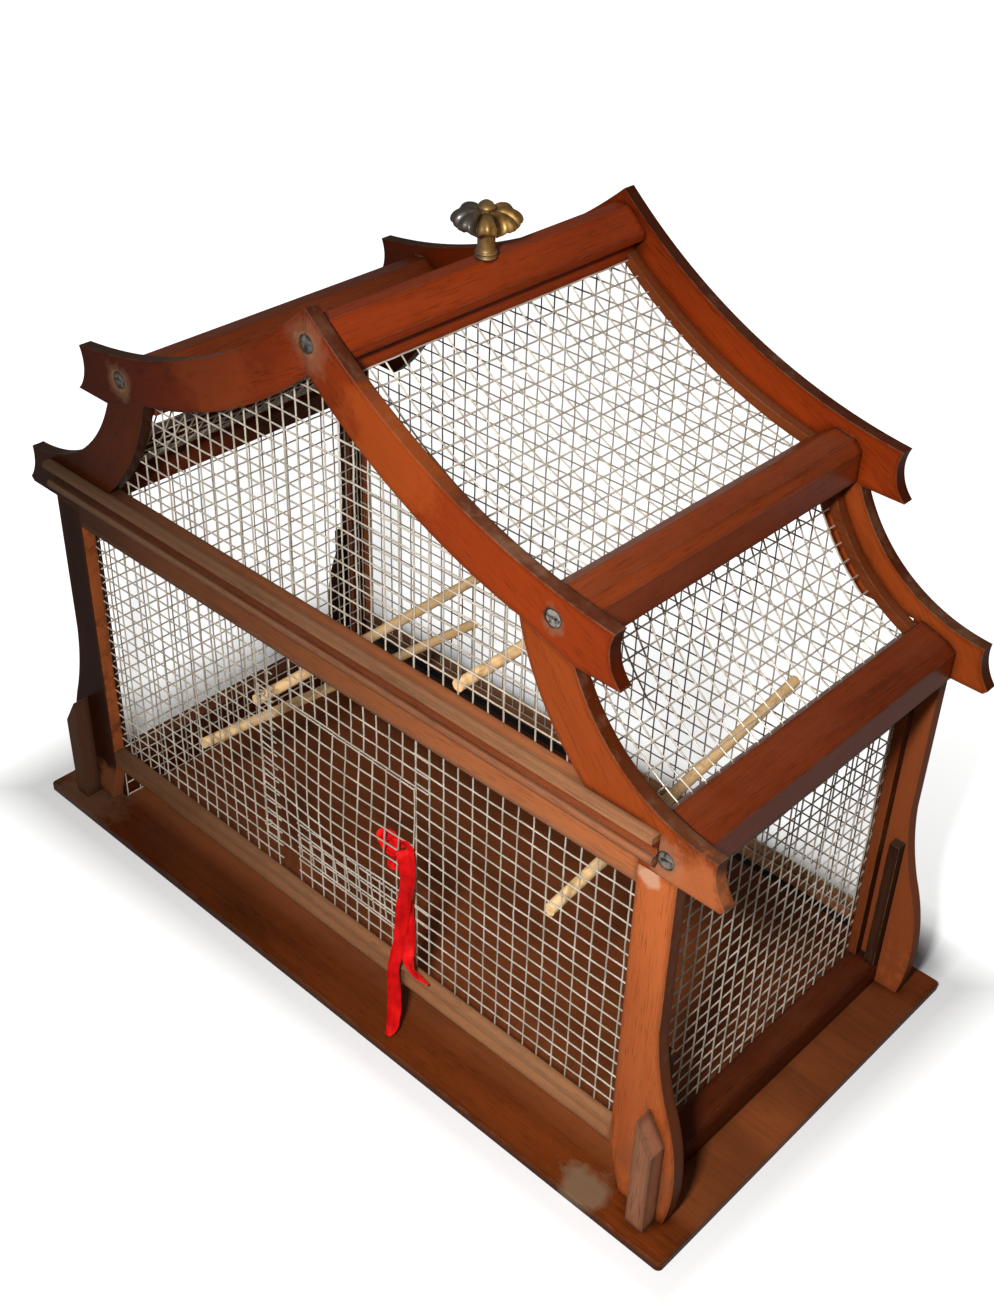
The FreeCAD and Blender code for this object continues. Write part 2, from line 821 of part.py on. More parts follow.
pieces["front_net_left"] = panel_net(lower_panel[0], hole_left, *lower_heights, [door_left], left_stops)
pieces["front_net_right"] = panel_net(hole_right, lower_panel[1], *lower_heights, [], [perch_c_front[1]])
pieces["front_net_over_door"] = panel_net(hole_left, hole_right, door_top, lower_heights[1], [], [])
pieces["front_net_under_door"] = panel_net(hole_left, hole_right, lower_heights[0], hole_bottom, [], [])

roof_arcs = [
    arc(at(inner_foot_inset - post_inner, mid_rail_top), at(-waist_x, waist_z), -lower_inner_sag),
    arc(at(-waist_x, waist_z), at(0, crown_z), -upper_inner_sag),
    arc(at(0, crown_z), at(waist_x, waist_z), -upper_inner_sag),
    arc(at(waist_x, waist_z), at(post_inner - inner_foot_inset, mid_rail_top), -lower_inner_sag),
]
crown_opening = face(
    line(at(post_inner - inner_foot_inset, mid_rail_top), at(inner_foot_inset - post_inner, mid_rail_top)),
    *roof_arcs,
)


def gable_net(opening, half_width, low, height_stops):
    """A net over an opening that reaches up to the roof, cut round the long rails that end in it."""
    field = opening.makeOffset2D(net_margin)
    upper_end = share_outline(upper_rail_shares, waist_x, upper_rail_z, upper_rail_width, upper_rail_height)
    lower_end = share_outline(lower_rail_shares, lower_rail_x, heel_z, lower_rail_width, lower_rail_height)
    for rail_end in (ridge_outline(), upper_end, lower_end):
        field = field.cut(rail_end).cut(mirror_x(rail_end))
    field = max(field.Faces, key=lambda piece: piece.Area)
    net = flat_net(
        field,
        bar_lines(-half_width, half_width, [0]),
        bar_lines(low - net_margin + half_bar, crown_z, height_stops),
    )
    net.translate(Vector(0, -gable_inner, 0))
    return net


pieces["front_net_upper"] = gable_net(crown_opening, post_inner - inner_foot_inset, mid_rail_top, [perch_d_z])
rear_throat = post_inner - inner_foot_inset
shoulder_z = mid_rail_top - net_margin
rear_opening = face(
    line(at(post_inner, bottom_rail_top), at(-post_inner, bottom_rail_top)),
    line(at(-post_inner, bottom_rail_top), at(-post_inner, shoulder_z)),
    line(at(-post_inner, shoulder_z), at(-rear_throat, shoulder_z)),
    line(at(-rear_throat, shoulder_z), at(-rear_throat, mid_rail_top)),
    *roof_arcs,
    line(at(rear_throat, mid_rail_top), at(rear_throat, shoulder_z)),
    line(at(rear_throat, shoulder_z), at(post_inner, shoulder_z)),
    line(at(post_inner, shoulder_z), at(post_inner, bottom_rail_top)),
)
rear_side = post_inner + net_margin - half_bar
rear_net = gable_net(rear_opening, rear_side, bottom_rail_top, [*rear_stops, perch_d_z]).cut(rafter_beads)
pieces["rear_net"] = mirror_y(max(rear_net.Solids, key=lambda solid: solid.Volume))

# Netting over the sides and the roof
side_foot = base_top + loose_gap
side_net = turned(flat_net(
    rectangle(-roof_half, roof_half, side_foot, heel_z),
    bar_lines(-roof_half + half_bar, roof_half - half_bar),
    bar_lines(side_foot + half_bar, heel_z - half_bar),
))
side_net.translate(Vector(side_net_x + net_wire, 0, 0))
upper_net = roof_net(
    upper_centre, upper_bead_radius + bead_width + snug_gap,
    angle_at(upper_centre, at(ridge_core_width / 2, crown_z)), upper_angles[1], [ridge, upper_rail],
)
lower_net = roof_net(
    lower_centre, lower_radius + bead_width + snug_gap, *lower_angles, [upper_rail, lower_rail]
)
for net_name, net in (("side_net", side_net), ("roof_net_upper", upper_net), ("roof_net_lower", lower_net)):
    pieces[net_name + "_right"] = net
    pieces[net_name + "_left"] = mirror_x(net)

# Door, perches, knob and screws
pieces["door_flap"] = door_flap()
pieces["door_rings"] = door_rings()
pieces["door_ribbon"] = ribbon()
perch_half = net_inner - snug_gap
pieces["perch_far_left"] = perch(perch_a_front, perch_a_rear, perch_half)
pieces["perch_left"] = perch(perch_b_front, perch_b_rear, perch_half)
pieces["perch_right"] = perch(perch_c_front, perch_c_rear, perch_half)
pieces["perch_upper"] = perch((perch_d_x, perch_d_z), (perch_d_x, perch_d_z), perch_half)
pieces["knob"] = knob()
front_screws = [screw(x, z) for x, z in screw_places]
pieces["gable_screws"] = Part.makeCompound(front_screws + [mirror_y(one) for one in front_screws])

for name, shape in pieces.items():
    shape.exportStep("parts/" + name + ".step")
print(len(pieces), "pieces")
for name, shape in pieces.items():
    print(name, len(shape.Solids), "solids", shape.isValid())
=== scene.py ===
import math

import bpy
from mathutils import Matrix, Vector, noise


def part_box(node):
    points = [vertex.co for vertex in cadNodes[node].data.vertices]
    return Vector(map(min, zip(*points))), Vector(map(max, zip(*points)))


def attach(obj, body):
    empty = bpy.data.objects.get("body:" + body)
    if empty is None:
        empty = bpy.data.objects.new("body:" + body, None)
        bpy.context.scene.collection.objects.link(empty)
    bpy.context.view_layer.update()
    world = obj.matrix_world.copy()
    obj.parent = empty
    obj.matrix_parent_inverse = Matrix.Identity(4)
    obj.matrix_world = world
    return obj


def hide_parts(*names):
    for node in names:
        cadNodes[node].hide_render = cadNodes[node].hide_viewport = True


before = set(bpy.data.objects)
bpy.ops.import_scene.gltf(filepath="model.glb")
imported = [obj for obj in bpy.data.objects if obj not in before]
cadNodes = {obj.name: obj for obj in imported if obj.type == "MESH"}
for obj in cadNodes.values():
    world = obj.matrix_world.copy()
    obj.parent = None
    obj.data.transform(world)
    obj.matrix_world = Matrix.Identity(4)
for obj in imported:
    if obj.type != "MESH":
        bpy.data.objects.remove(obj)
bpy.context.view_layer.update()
bpy.ops.object.select_all(action="DESELECT")
bpy.context.scene.view_settings.view_transform = "Standard"
print("frame loaded:", len(cadNodes), "nodes")

# camera, on the photo's station point
cameraSet = {
    "place": (0.6666, -0.7044, 0.9341),
    "turn": 41.512,
    "tilt": 54.104,
    "roll": 2.353,
    "imageSize": (994, 1305),
    "focalPixels": 1635.4,
    "centrePixel": 518.8,
    "sensorWidth": 36,
    "clipStart": 0.02,
}


def addCamera(settings):
    width, height = settings["imageSize"]
    longSide = max(width, height)
    bpy.ops.object.camera_add(location=settings["place"])
    camera = bpy.context.object
    camera.name = "camera"
    camera.data.sensor_width = settings["sensorWidth"]
    camera.data.lens = settings["sensorWidth"] * settings["focalPixels"] / longSide
    camera.data.shift_x = (width / 2 - settings["centrePixel"]) / longSide
    camera.data.clip_start = settings["clipStart"]
    camera.matrix_world = (
        Matrix.Translation(settings["place"])
        @ Matrix.Rotation(math.radians(settings["turn"]), 4, "Z")
        @ Matrix.Rotation(math.radians(settings["tilt"]), 4, "X")
        @ Matrix.Rotation(math.radians(settings["roll"]), 4, "Z")
    )
    bpy.context.scene.camera = camera


addCamera(cameraSet)
print("camera placed")

# small helpers for modelling by hand


def selectOnly(piece):
    bpy.ops.object.select_all(action="DESELECT")
    piece.select_set(True)
    bpy.context.view_layer.objects.active = piece


def editStart(piece, mode):
    selectOnly(piece)
    bpy.ops.object.mode_set(mode="EDIT")
    bpy.ops.mesh.select_mode(type=mode)
    bpy.ops.mesh.select_all(action="DESELECT")
    bpy.ops.object.mode_set(mode="OBJECT")


def pickEdges(piece, test):
    points = piece.data.vertices
    for edge in piece.data.edges:
        edge.select = test(*(points[index].co for index in edge.vertices))


def pickPoints(piece, test):
    for point in piece.data.vertices:
        point.select = test(point.co)


def edit(operator, **settings):
    bpy.ops.object.mode_set(mode="EDIT")
    operator(**settings)
    bpy.ops.object.mode_set(mode="OBJECT")


def applyPlace(piece):
    selectOnly(piece)
    bpy.ops.object.transform_apply(location=True, rotation=True, scale=True)


def applyModifier(piece, kind, **settings):
    bpy.context.view_layer.objects.active = piece
    modifier = piece.modifiers.new(kind.title(), kind)
    for key, value in settings.items():
        setattr(modifier, key, value)
    bpy.ops.object.modifier_apply(modifier=modifier.name)


def joinAll(pieces, name):
    selectOnly(pieces[0])
    for piece in pieces:
        piece.select_set(True)
    bpy.ops.object.join()
    pieces[0].name = name
    pieces[0].data.name = name
    return pieces[0]


def smooth(piece, angle=60):
    selectOnly(piece)
    bpy.ops.object.shade_smooth_by_angle(angle=math.radians(angle))


def finishPiece(piece, body, slot, material, *nodes):
    piece.data.materials.clear()
    piece.data.materials.append(material)
    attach(piece, body)
    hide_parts(*nodes)


# shader maths


class Socket:  # an output that can be used in sums
    def __init__(self, tree, socket):
        self.tree = tree
        self.socket = socket

    def maths(self, operation, *others, **settings):
        return self.tree.add("ShaderNodeMath", {"operation": operation, **settings}, self, *others)

    def __add__(self, other):
        return self.maths("ADD", other)

    def __sub__(self, other):
        return self.maths("SUBTRACT", other)

    def __mul__(self, other):
        return self.maths("MULTIPLY", other)

    def __truediv__(self, other):
        return self.maths("DIVIDE", other)

    def __pow__(self, other):
        return self.maths("POWER", other)

    def __rsub__(self, other):
        return self.tree.add("ShaderNodeMath", {"operation": "SUBTRACT"}, other, self)

    __radd__ = __add__
    __rmul__ = __mul__

    def absolute(self):
        return self.maths("ABSOLUTE")

    def clamp(self):
        return self.maths("ADD", 0.0, use_clamp=True)


class Shader:  # a material whose nodes come from add
    def __init__(self, name):
        self.material = bpy.data.materials.new(name)
        self.material.use_nodes = True
        self.nodes = self.material.node_tree.nodes
        self.links = self.material.node_tree.links
        self.surface = self.nodes["Principled BSDF"]

    def add(self, kind, settings=None, *values, output=0, **named):
        node = self.nodes.new(kind)
        for key, value in (settings or {}).items():
            setattr(node, key, value)
        for index, value in enumerate(values):
            self.feed(node.inputs[index], value)
        for key, value in named.items():
            self.feed(node.inputs[key.replace("_", " ")], value)
        return Socket(self, node.outputs[output])

    def feed(self, target, value):
        if isinstance(value, Socket):
            self.links.new(value.socket, target)
        elif value is not None:
            target.default_value = value

    def mix(self, factor, first, second):
        node = self.nodes.new("ShaderNodeMix")
        node.data_type = "RGBA"
        self.feed(node.inputs["Factor"], factor)
        self.feed(node.inputs["A"], first if isinstance(first, Socket) else (*first, 1))
        self.feed(node.inputs["B"], second if isinstance(second, Socket) else (*second, 1))
        return Socket(self, node.outputs["Result"])

    def place(self, turn=(0, 0, 0), scale=(1, 1, 1), shift=(0, 0, 0)):
        # the place on the piece, turned in degrees, then scaled and shifted
        coordinates = self.add("ShaderNodeTexCoord", None, output="Object")
        turned = self.add(
            "ShaderNodeMapping", {"vector_type": "POINT"}, coordinates,
            Rotation=[math.radians(angle) for angle in turn],
        )
        return self.add("ShaderNodeMapping", {"vector_type": "POINT"}, turned, Location=shift, Scale=scale)

    def axis(self, letter, vector=None):
        # one coordinate of a vector, or of the place on the piece
        return self.add("ShaderNodeSeparateXYZ", None, vector or self.place(), output=letter)

    def noise(self, vector, scale=1.0, detail=2.0, roughness=0.5, distortion=0.0):
        return self.add(
            "ShaderNodeTexNoise", None, Vector=vector, Scale=scale, Detail=detail,
            Roughness=roughness, Distortion=distortion,
        )

    def speckle(self, scale, detail, roughness=0.5, shift=(0, 0, 0)):
        # noise that is as fine in every direction
        return self.noise(self.place(scale=(scale, scale, scale), shift=shift), 1.0, detail, roughness)

    def between(self, value, low, high):
        return self.add("ShaderNodeMapRange", {"clamp": True}, Value=value, From_Min=low, From_Max=high)

    def measure(self, operation, first, second):
        # a number from two vectors
        return self.add("ShaderNodeVectorMath", {"operation": operation}, first, second, output="Value")

    def trueNormal(self):
        return self.add("ShaderNodeNewGeometry", None, output="Normal")

    def rounded(self, radius):
        return self.add("ShaderNodeBevel", {"samples": 4}, Radius=radius)

    def parted(self, normal, true):
        # 0 on flat places, more where the rounded normal leaves the true one
        return 1 - self.measure("DOT_PRODUCT", normal, true)

    def hidden(self, reach):
        # 0 in the open, more in corners
        return 1 - self.add("ShaderNodeAmbientOcclusion", {"samples": 4}, Distance=reach, output="AO")

    def bump(self, height, strength, distance, normal=None):
        return self.add(
            "ShaderNodeBump", None, Strength=strength, Distance=distance, Height=height, Normal=normal,
        )

    def set(self, **sockets):
        for key, value in sockets.items():
            self.feed(self.surface.inputs[key.replace("_", " ")], value)


# wood: one recipe, with each board's own grain direction and tones
# left is the board's tone at the cage's left end as a share of its tone at the right end, where it is 1:
# painted shade where it is below 1 and painted light where above it, for less light falls on the left; a
# board may give its own span along the cage where that painted change starts and ends, and its own share of
# the darker borders and painted corner shade

woodTones = {
    "post": {
        "dark": (0.38, 0.078, 0.018), "light": (0.62, 0.160, 0.043),
        "left": 0.045, "gloss": 0.34, "shine": 0.07, "dust": 0.3,
    },
    "lowerRafter": {
        "dark": (0.20, 0.032, 0.005), "light": (0.36, 0.066, 0.012),
        "left": 0.10, "gloss": 0.32, "shine": 0.09, "dust": 0.4,
    },
    "upperRafter": {
        "dark": (0.18, 0.021, 0.003), "light": (0.33, 0.044, 0.006),
        "left": 0.09, "gloss": 0.30, "shine": 0.09, "dust": 0.4,
    },
    "frontRail": {
        "dark": (0.25, 0.074, 0.026), "light": (0.60, 0.200, 0.072),
        "left": 0.07, "gloss": 0.42, "shine": 0.12, "dust": 0.5, "paintedFalloffSpan": (-0.24, 0.32),
    },
    "bottomRail": {
        "dark": (0.30, 0.120, 0.052), "light": (0.62, 0.275, 0.120),
        "left": 0.35, "gloss": 0.55, "shine": 0.12, "dust": 0.5,
    },
    "ridge": {
        "dark": (0.18, 0.020, 0.003), "light": (0.33, 0.046, 0.008),
        "left": 0.8, "gloss": 0.28, "shine": 0.25, "dust": 0.1,
    },
    "upperEave": {
        "dark": (0.14, 0.020, 0.004), "light": (0.29, 0.054, 0.013),
        "left": 0.6, "gloss": 0.26, "shine": 0.3, "dust": 0.1,
    },
    "lowerEave": {
        "dark": (0.11, 0.015, 0.003), "light": (0.24, 0.040, 0.008),
        "left": 0.6, "gloss": 0.26, "shine": 0.3, "dust": 0.1,
    },
    "sideRail": {
        "dark": (0.045, 0.008, 0.002), "light": (0.15, 0.024, 0.005),
        "left": 0.6, "gloss": 0.30, "shine": 0.14, "dust": 0.1,
    },
    "base": {
        "dark": (0.060, 0.014, 0.003), "light": (0.215, 0.042, 0.007),
        "left": 0.5, "gloss": 0.16, "shine": 0.24, "dust": 0.0,
    },
    "bead": {
        "dark": (0.11, 0.024, 0.006), "light": (0.24, 0.055, 0.014),
        "left": 1.6, "gloss": 0.40, "shine": 0.12, "dust": 0.3, "grimeAndShade": 0.3,
    },
    "bracket": {
        "dark": (0.24, 0.092, 0.046), "light": (0.50, 0.215, 0.115),
        "left": 0.24, "gloss": 0.50, "shine": 0.12, "dust": 0.5,
    },
    "lath": {
        "dark": (0.016, 0.007, 0.004), "light": (0.085, 0.030, 0.015),
        "left": 0.6, "gloss": 0.65, "shine": 0.1, "dust": 0.5,
    },
}

# patterns along the grain: scale along and across it, detail, roughness and distortion
grainPatterns = {
    "bands": ((2.0, 26, 26), 3, 0.5, 0.5),
    "fibres": ((12, 520, 520), 4, 0.6, 0.0),
    "pores": ((60, 1500, 1500), 1, 0.5, 0.0),
    "clouds": ((7, 15, 15), 4, 0.6, 0.0),
    "stains": ((9, 34, 34), 5, 0.7, 0.0),
}

# range says where an effect starts and where it is full, shade is its tone as a share of the board's own,
# and of a pair of tints the second is the darker one painted as shade at the cage's left end
woodWearAndShade = {
    "scuffs": {"scale": 60, "detail": 5, "roughness": 0.7},
    "grain": {"bands": 0.45, "fibres": 0.22, "clouds": 0.5, "range": (0.38, 0.80)},
    # painted shade: how the boards are made darker towards the cage's left end, where less light falls
    "paintedFalloff": {"paintedFalloffSpan": (-0.21, 0.19), "clouds": 0.12, "shadedDarkGrain": 0.8},
    "band": {"softEdge": 0.0003, "range": (0.25, 0.60), "patchy": 0.3},
    "pores": {"range": (0.60, 0.72), "strength": 0.5, "shade": 0.16},
    "stains": {"range": (0.58, 0.76), "strength": 0.55, "shade": 0.12},
    "sawn": {
        "facing": (0.35, 0.6), "range": (0.52, 0.62), "strength": 0.88, "worn": 0.6, "shade": 0.14,
        "wornTint": (0.17, 0.085, 0.050), "leftShadeTint": (0.030, 0.017, 0.011),
    },
    "border": {"radius": 0.007, "clouds": 0.10, "range": (0.0, 0.16), "strength": 0.55, "shade": 0.22},
    "arris": {
        "radius": 0.0015, "range": (0.01, 0.12), "scuffed": (0.38, 0.60), "strength": 0.55,
        "tintAndLeftShade": ((0.27, 0.145, 0.085), (0.10, 0.070, 0.050)),
    },
    # painted shade in the corners between pieces, where ambient occlusion finds them hidden
    "cornerShade": {"reach": 0.014, "scuffs": 0.3, "range": (0.30, 0.62), "strength": 0.85, "shade": 0.10},
    "dust": {
        "facing": (0.72, 0.97), "range": (0.40, 0.72),
        "tintAndLeftShade": ((0.19, 0.105, 0.060), (0.075, 0.045, 0.030)),
    },
    "speck": {
        "scale": (75, 75, 75), "size": 0.07, "range": (0.005, 0.02), "few": (0.72, 0.74), "strength": 0.7,
        "tintAndLeftShade": ((0.62, 0.38, 0.23), (0.22, 0.14, 0.09)),
    },
    "mark": {"ragged": 1.6, "range": (0.55, 1.0)},
    "roughness": {"dust": 0.3, "arris": 0.25, "scuffs": 0.14},
    "coat": {"weight": 0.03, "roughness": 0.16},
    "shineTint": (1, 0.55, 0.35, 1),
    "bump": {"fibres": 0.35, "pores": 0.15, "scuffs": 0.6, "strength": 0.16, "depth": 0.0006},
}

# the floor inside the cage is painted duller and paler: painted light that lifts it against the netting's
# shade
innerFloorLift = {
    "halfDepth": (0.125, 0.140), "strength": 0.35,
    "dark": (0.15, 0.046, 0.016), "light": (0.42, 0.130, 0.046),
}

# the left posts' inner faces, which turn towards the key light, are painted a warm lit tone: painted light
innerPostLight = {
    "facing": (0.6, 0.8), "across": (-0.2, -0.1), "scuffed": (0.25, 0.5), "strength": 0.85,
    "dark": (0.20, 0.045, 0.012), "light": (0.50, 0.135, 0.036),
}

# bands of another tone along a board: low and high edge, how strong, and the tint at the right end and the
# darker tint painted as shade at the left end
woodBands = {
    "wood-moulding": [
        (0.3232, 0.3300, 0.80, (0.48, 0.225, 0.105), (0.110, 0.062, 0.035)),
        (0.3120, 0.3232, 1.00, (0.42, 0.090, 0.026), (0.006, 0.002, 0.001)),
        (0.3180, 0.3236, 0.65, (0.150, 0.034, 0.010), (0.004, 0.002, 0.001)),
        (0.3040, 0.3120, 0.90, (0.34, 0.130, 0.062), (0.125, 0.078, 0.046)),
    ],
    "wood-crossRail": [
        (0.2900, 0.3300, 0.60, (0.52, 0.150, 0.046), (0.030, 0.010, 0.004)),
        (0.2800, 0.2860, 0.60, (0.36, 0.150, 0.080), (0.055, 0.030, 0.018)),
    ],
}

# worn places, with two broad painted highlights on the upper rafters: where, how wide, how strong, and
# their colour
woodMarks = {
    "wood-post": [
        ((0.2775, -0.146, 0.2915), 0.0090, 0.85, (0.66, 0.36, 0.22)),
        ((0.3000, -0.146, 0.0420), 0.0300, 0.35, (0.16, 0.075, 0.040)),
        ((0.3000, 0.135, 0.1800), 0.2400, 0.90, (0.24, 0.058, 0.018)),
        ((-0.2780, -0.146, 0.0220), 0.0260, 0.65, (0.26, 0.090, 0.036)),
    ],
    "wood-base": [
        ((0.262, -0.160, 0.0065), 0.020, 0.75, (0.23, 0.145, 0.085)),
        ((-0.300, -0.160, 0.0065), 0.045, 0.35, (0.16, 0.095, 0.055)),
    ],
    "wood-lowerRafterRight": [
        ((0.2873, -0.146, 0.3108), 0.0170, 0.5, (0.34, 0.175, 0.105)),
        ((0.3080, -0.146, 0.3000), 0.0300, 0.55, (0.58, 0.175, 0.060)),
    ],
    "wood-upperRafterLeft": [
        ((0, -0.146, 0.5235), 0.0200, 0.35, (0.20, 0.105, 0.060)),
        ((-0.1959, -0.146, 0.4292), 0.0150, 0.5, (0.20, 0.115, 0.065)),
        # a painted highlight, the sheen in the middle of the rafter's face
        ((-0.0900, -0.146, 0.4750), 0.0500, 0.22, (0.34, 0.070, 0.014)),
    ],
    "wood-upperRafterRight": [
        ((0, -0.146, 0.5235), 0.0200, 0.45, (0.24, 0.110, 0.060)),
        # a painted highlight, the sheen in the middle of the rafter's face
        ((0.0700, -0.146, 0.4850), 0.0500, 0.30, (0.52, 0.105, 0.016)),
    ],
}

# torn, paler wood round each countersunk screw, with grime and the painted shade of its countersink close
# to the head
screwHoles = {
    "places": [(0.0, 0.5235), (0.1959, 0.4292), (0.2873, 0.3108)],
    "raggedScale": 120,
    "tornRadius": 0.0095, "tornInside": 0.6, "tornRagged": 0.016, "tornStrength": 0.55,
    "tornColour": (0.24, 0.125, 0.070), "tornRoughness": 0.25,
    "grimeAndShadeRadius": 0.0070, "grimeAndShadeInside": 0.8, "grimeAndShadeRagged": 0.005, "grimeAndShadeStrength": 0.9,
    "grimeAndShadeColour": (0.030, 0.018, 0.011),
}


def scaled(tint, share):
    return [value * share for value in tint]


class Wood(Shader):  # a board, whose colour is laid on coat by coat
    def __init__(self, name, tones, turn, seed):
        super().__init__(name)
        self.turn = turn
        self.fibres = self.pattern("fibres", (seed, 0, seed))
        self.pores = self.pattern("pores", (0, seed, seed))
        self.clouds = self.pattern("clouds", (seed, 2, 0))
        self.stains = self.pattern("stains", (1, seed, 3))
        self.scuffs = self.speckle(**woodWearAndShade["scuffs"], shift=(seed, seed, seed))
        self.true = self.trueNormal()
        parts = woodWearAndShade["grain"]
        bands = self.pattern("bands", (seed, seed, 0)) * parts["bands"]
        mixed = bands + self.fibres * parts["fibres"] + self.clouds * parts["clouds"]
        self.grain = self.between(mixed, *parts["range"])
        # painted shade: each board is made darker towards the cage's left end, its dark grain darker still
        paintedFalloff = woodWearAndShade["paintedFalloff"]
        across = self.axis("X") + self.clouds * paintedFalloff["clouds"]
        self.paintedFalloff = self.between(across, *tones.get("paintedFalloffSpan", paintedFalloff["paintedFalloffSpan"]))
        dark, light = scaled(tones["dark"], tones["left"]), scaled(tones["light"], tones["left"])
        shadedLeft = self.mix(self.grain, scaled(dark, paintedFalloff["shadedDarkGrain"]), light)
        self.colour = self.mix(self.paintedFalloff, shadedLeft, self.mix(self.grain, tones["dark"], tones["light"]))

    def pattern(self, kind, shift):
        scale, detail, roughness, distortion = grainPatterns[kind]
        return self.noise(self.place(self.turn, scale, shift), 1.0, detail, roughness, distortion)

    def coat(self, mask, tint, leftShadeTint=None):
        # a tint over the colour so far, and where it is given, another tint towards the left end, painted
        # there as shade
        if leftShadeTint:
            tint = self.mix(self.paintedFalloff, leftShadeTint, tint)
        self.colour = self.mix(mask, self.colour, tint)

    def worn(self, clouds, scuffs):
        return self.clouds * clouds + self.scuffs * scuffs


def addBands(wood, bands):
    height = wood.axis("Z")
    effectSet = woodWearAndShade["band"]
    soft = effectSet["softEdge"]
    patches = wood.between(wood.grain * 0.5 + wood.scuffs * 0.5, *effectSet["range"])
    patches = patches * effectSet["patchy"] + (1 - effectSet["patchy"])
    for low, high, strength, tint, leftShadeTint in bands:
        aboveLow, aboveHigh = (wood.between(height, edge - soft, edge + soft) for edge in (low, high))
        wood.coat((aboveLow - aboveHigh) * patches * strength, tint, leftShadeTint)


def addSawnEdges(wood, tones):
    # the sawn edges of the shaped boards are grimy, and paler where hands have worn them; towards the
    # cage's left end they are painted darker as shade
    effectSet = woodWearAndShade["sawn"]
    sawn = 1 - wood.between(wood.axis("Y", wood.true).absolute(), *effectSet["facing"])
    rubbed = wood.between(wood.worn(0.5, 0.5), *effectSet["range"])
    grimy = wood.mix(rubbed * effectSet["worn"], scaled(tones["light"], effectSet["shade"]), effectSet["wornTint"])
    wood.coat(sawn * effectSet["strength"], grimy, effectSet["leftShadeTint"])


def addGrimeAndShade(wood, tones):
    # darker borders, worn and greyed arrises that are painted darker towards the left end as shade, and
    # painted shade in the corners between pieces
    share = tones.get("grimeAndShade", 1)
    effectSet = woodWearAndShade["border"]
    soft = wood.parted(wood.rounded(effectSet["radius"]), wood.true)
    border = wood.between(soft + (wood.clouds - 0.5) * effectSet["clouds"], *effectSet["range"])
    wood.coat(border * effectSet["strength"] * share, scaled(tones["dark"], effectSet["shade"]))
    effectSet = woodWearAndShade["arris"]
    rounded = wood.rounded(effectSet["radius"])
    arris = wood.between(wood.parted(rounded, wood.true), *effectSet["range"])
    arris = arris * wood.between(wood.scuffs, *effectSet["scuffed"])
    wood.coat(arris * effectSet["strength"], *effectSet["tintAndLeftShade"])
    # painted shade in the corners between pieces, from ambient occlusion
    effectSet = woodWearAndShade["cornerShade"]
    hidden = wood.hidden(effectSet["reach"]) + (wood.scuffs - 0.5) * effectSet["scuffs"]
    cornerShade = wood.between(hidden, *effectSet["range"])
    wood.coat(cornerShade * effectSet["strength"] * share, scaled(tones["dark"], effectSet["shade"]))
    return rounded, arris


def addInnerFloorLift(wood):
    # painted light: the floor inside the cage is lifted to make up for the netting's shade
    inside = 1 - wood.between(wood.axis("Y").absolute(), *innerFloorLift["halfDepth"])
    liftedBoards = wood.mix(wood.grain, innerFloorLift["dark"], innerFloorLift["light"])
    wood.coat(inside * innerFloorLift["strength"], liftedBoards)


def addInnerPostLight(wood):
    # painted light on the inner faces of the left posts that turn towards the key light
    inner = wood.between(wood.axis("X", wood.true), *innerPostLight["facing"])
    inner = inner * (1 - wood.between(wood.axis("X"), *innerPostLight["across"]))
    inner = inner * wood.between(wood.scuffs, *innerPostLight["scuffed"])
    litTone = wood.mix(wood.grain, innerPostLight["dark"], innerPostLight["light"])
    wood.coat(inner * innerPostLight["strength"], litTone)


def addDust(wood, tones):
    # dust on what faces up, and pale specks in a few of the cells only, both painted darker towards the
    # cage's left end as shade
    effectSet = woodWearAndShade["dust"]
    settled = wood.between(wood.axis("Z", wood.true), *effectSet["facing"])
    settled = settled * wood.between(wood.worn(0.6, 0.5), *effectSet["range"])
    wood.coat(settled * tones["dust"], *effectSet["tintAndLeftShade"])
    effectSet = woodWearAndShade["speck"]
    cells = wood.place(scale=effectSet["scale"])
    reach = wood.add("ShaderNodeTexVoronoi", None, Vector=cells, output="Distance")
    chance = wood.axis("X", wood.add("ShaderNodeTexVoronoi", None, Vector=cells, output="Color"))
    speck = wood.between(chance * effectSet["size"] - reach, *effectSet["range"]) * wood.between(chance, *effectSet["few"])
    wood.coat(speck * effectSet["strength"], *effectSet["tintAndLeftShade"])
    return settled


def addMarks(wood, marks):
    effectSet = woodWearAndShade["mark"]
    for place, radius, strength, tint in marks:
        away = wood.measure("DISTANCE", wood.place(), place)
        mark = 1 - wood.between(away / radius + (wood.scuffs - 0.5) * effectSet["ragged"], *effectSet["range"])
        wood.coat(mark * strength, tint)


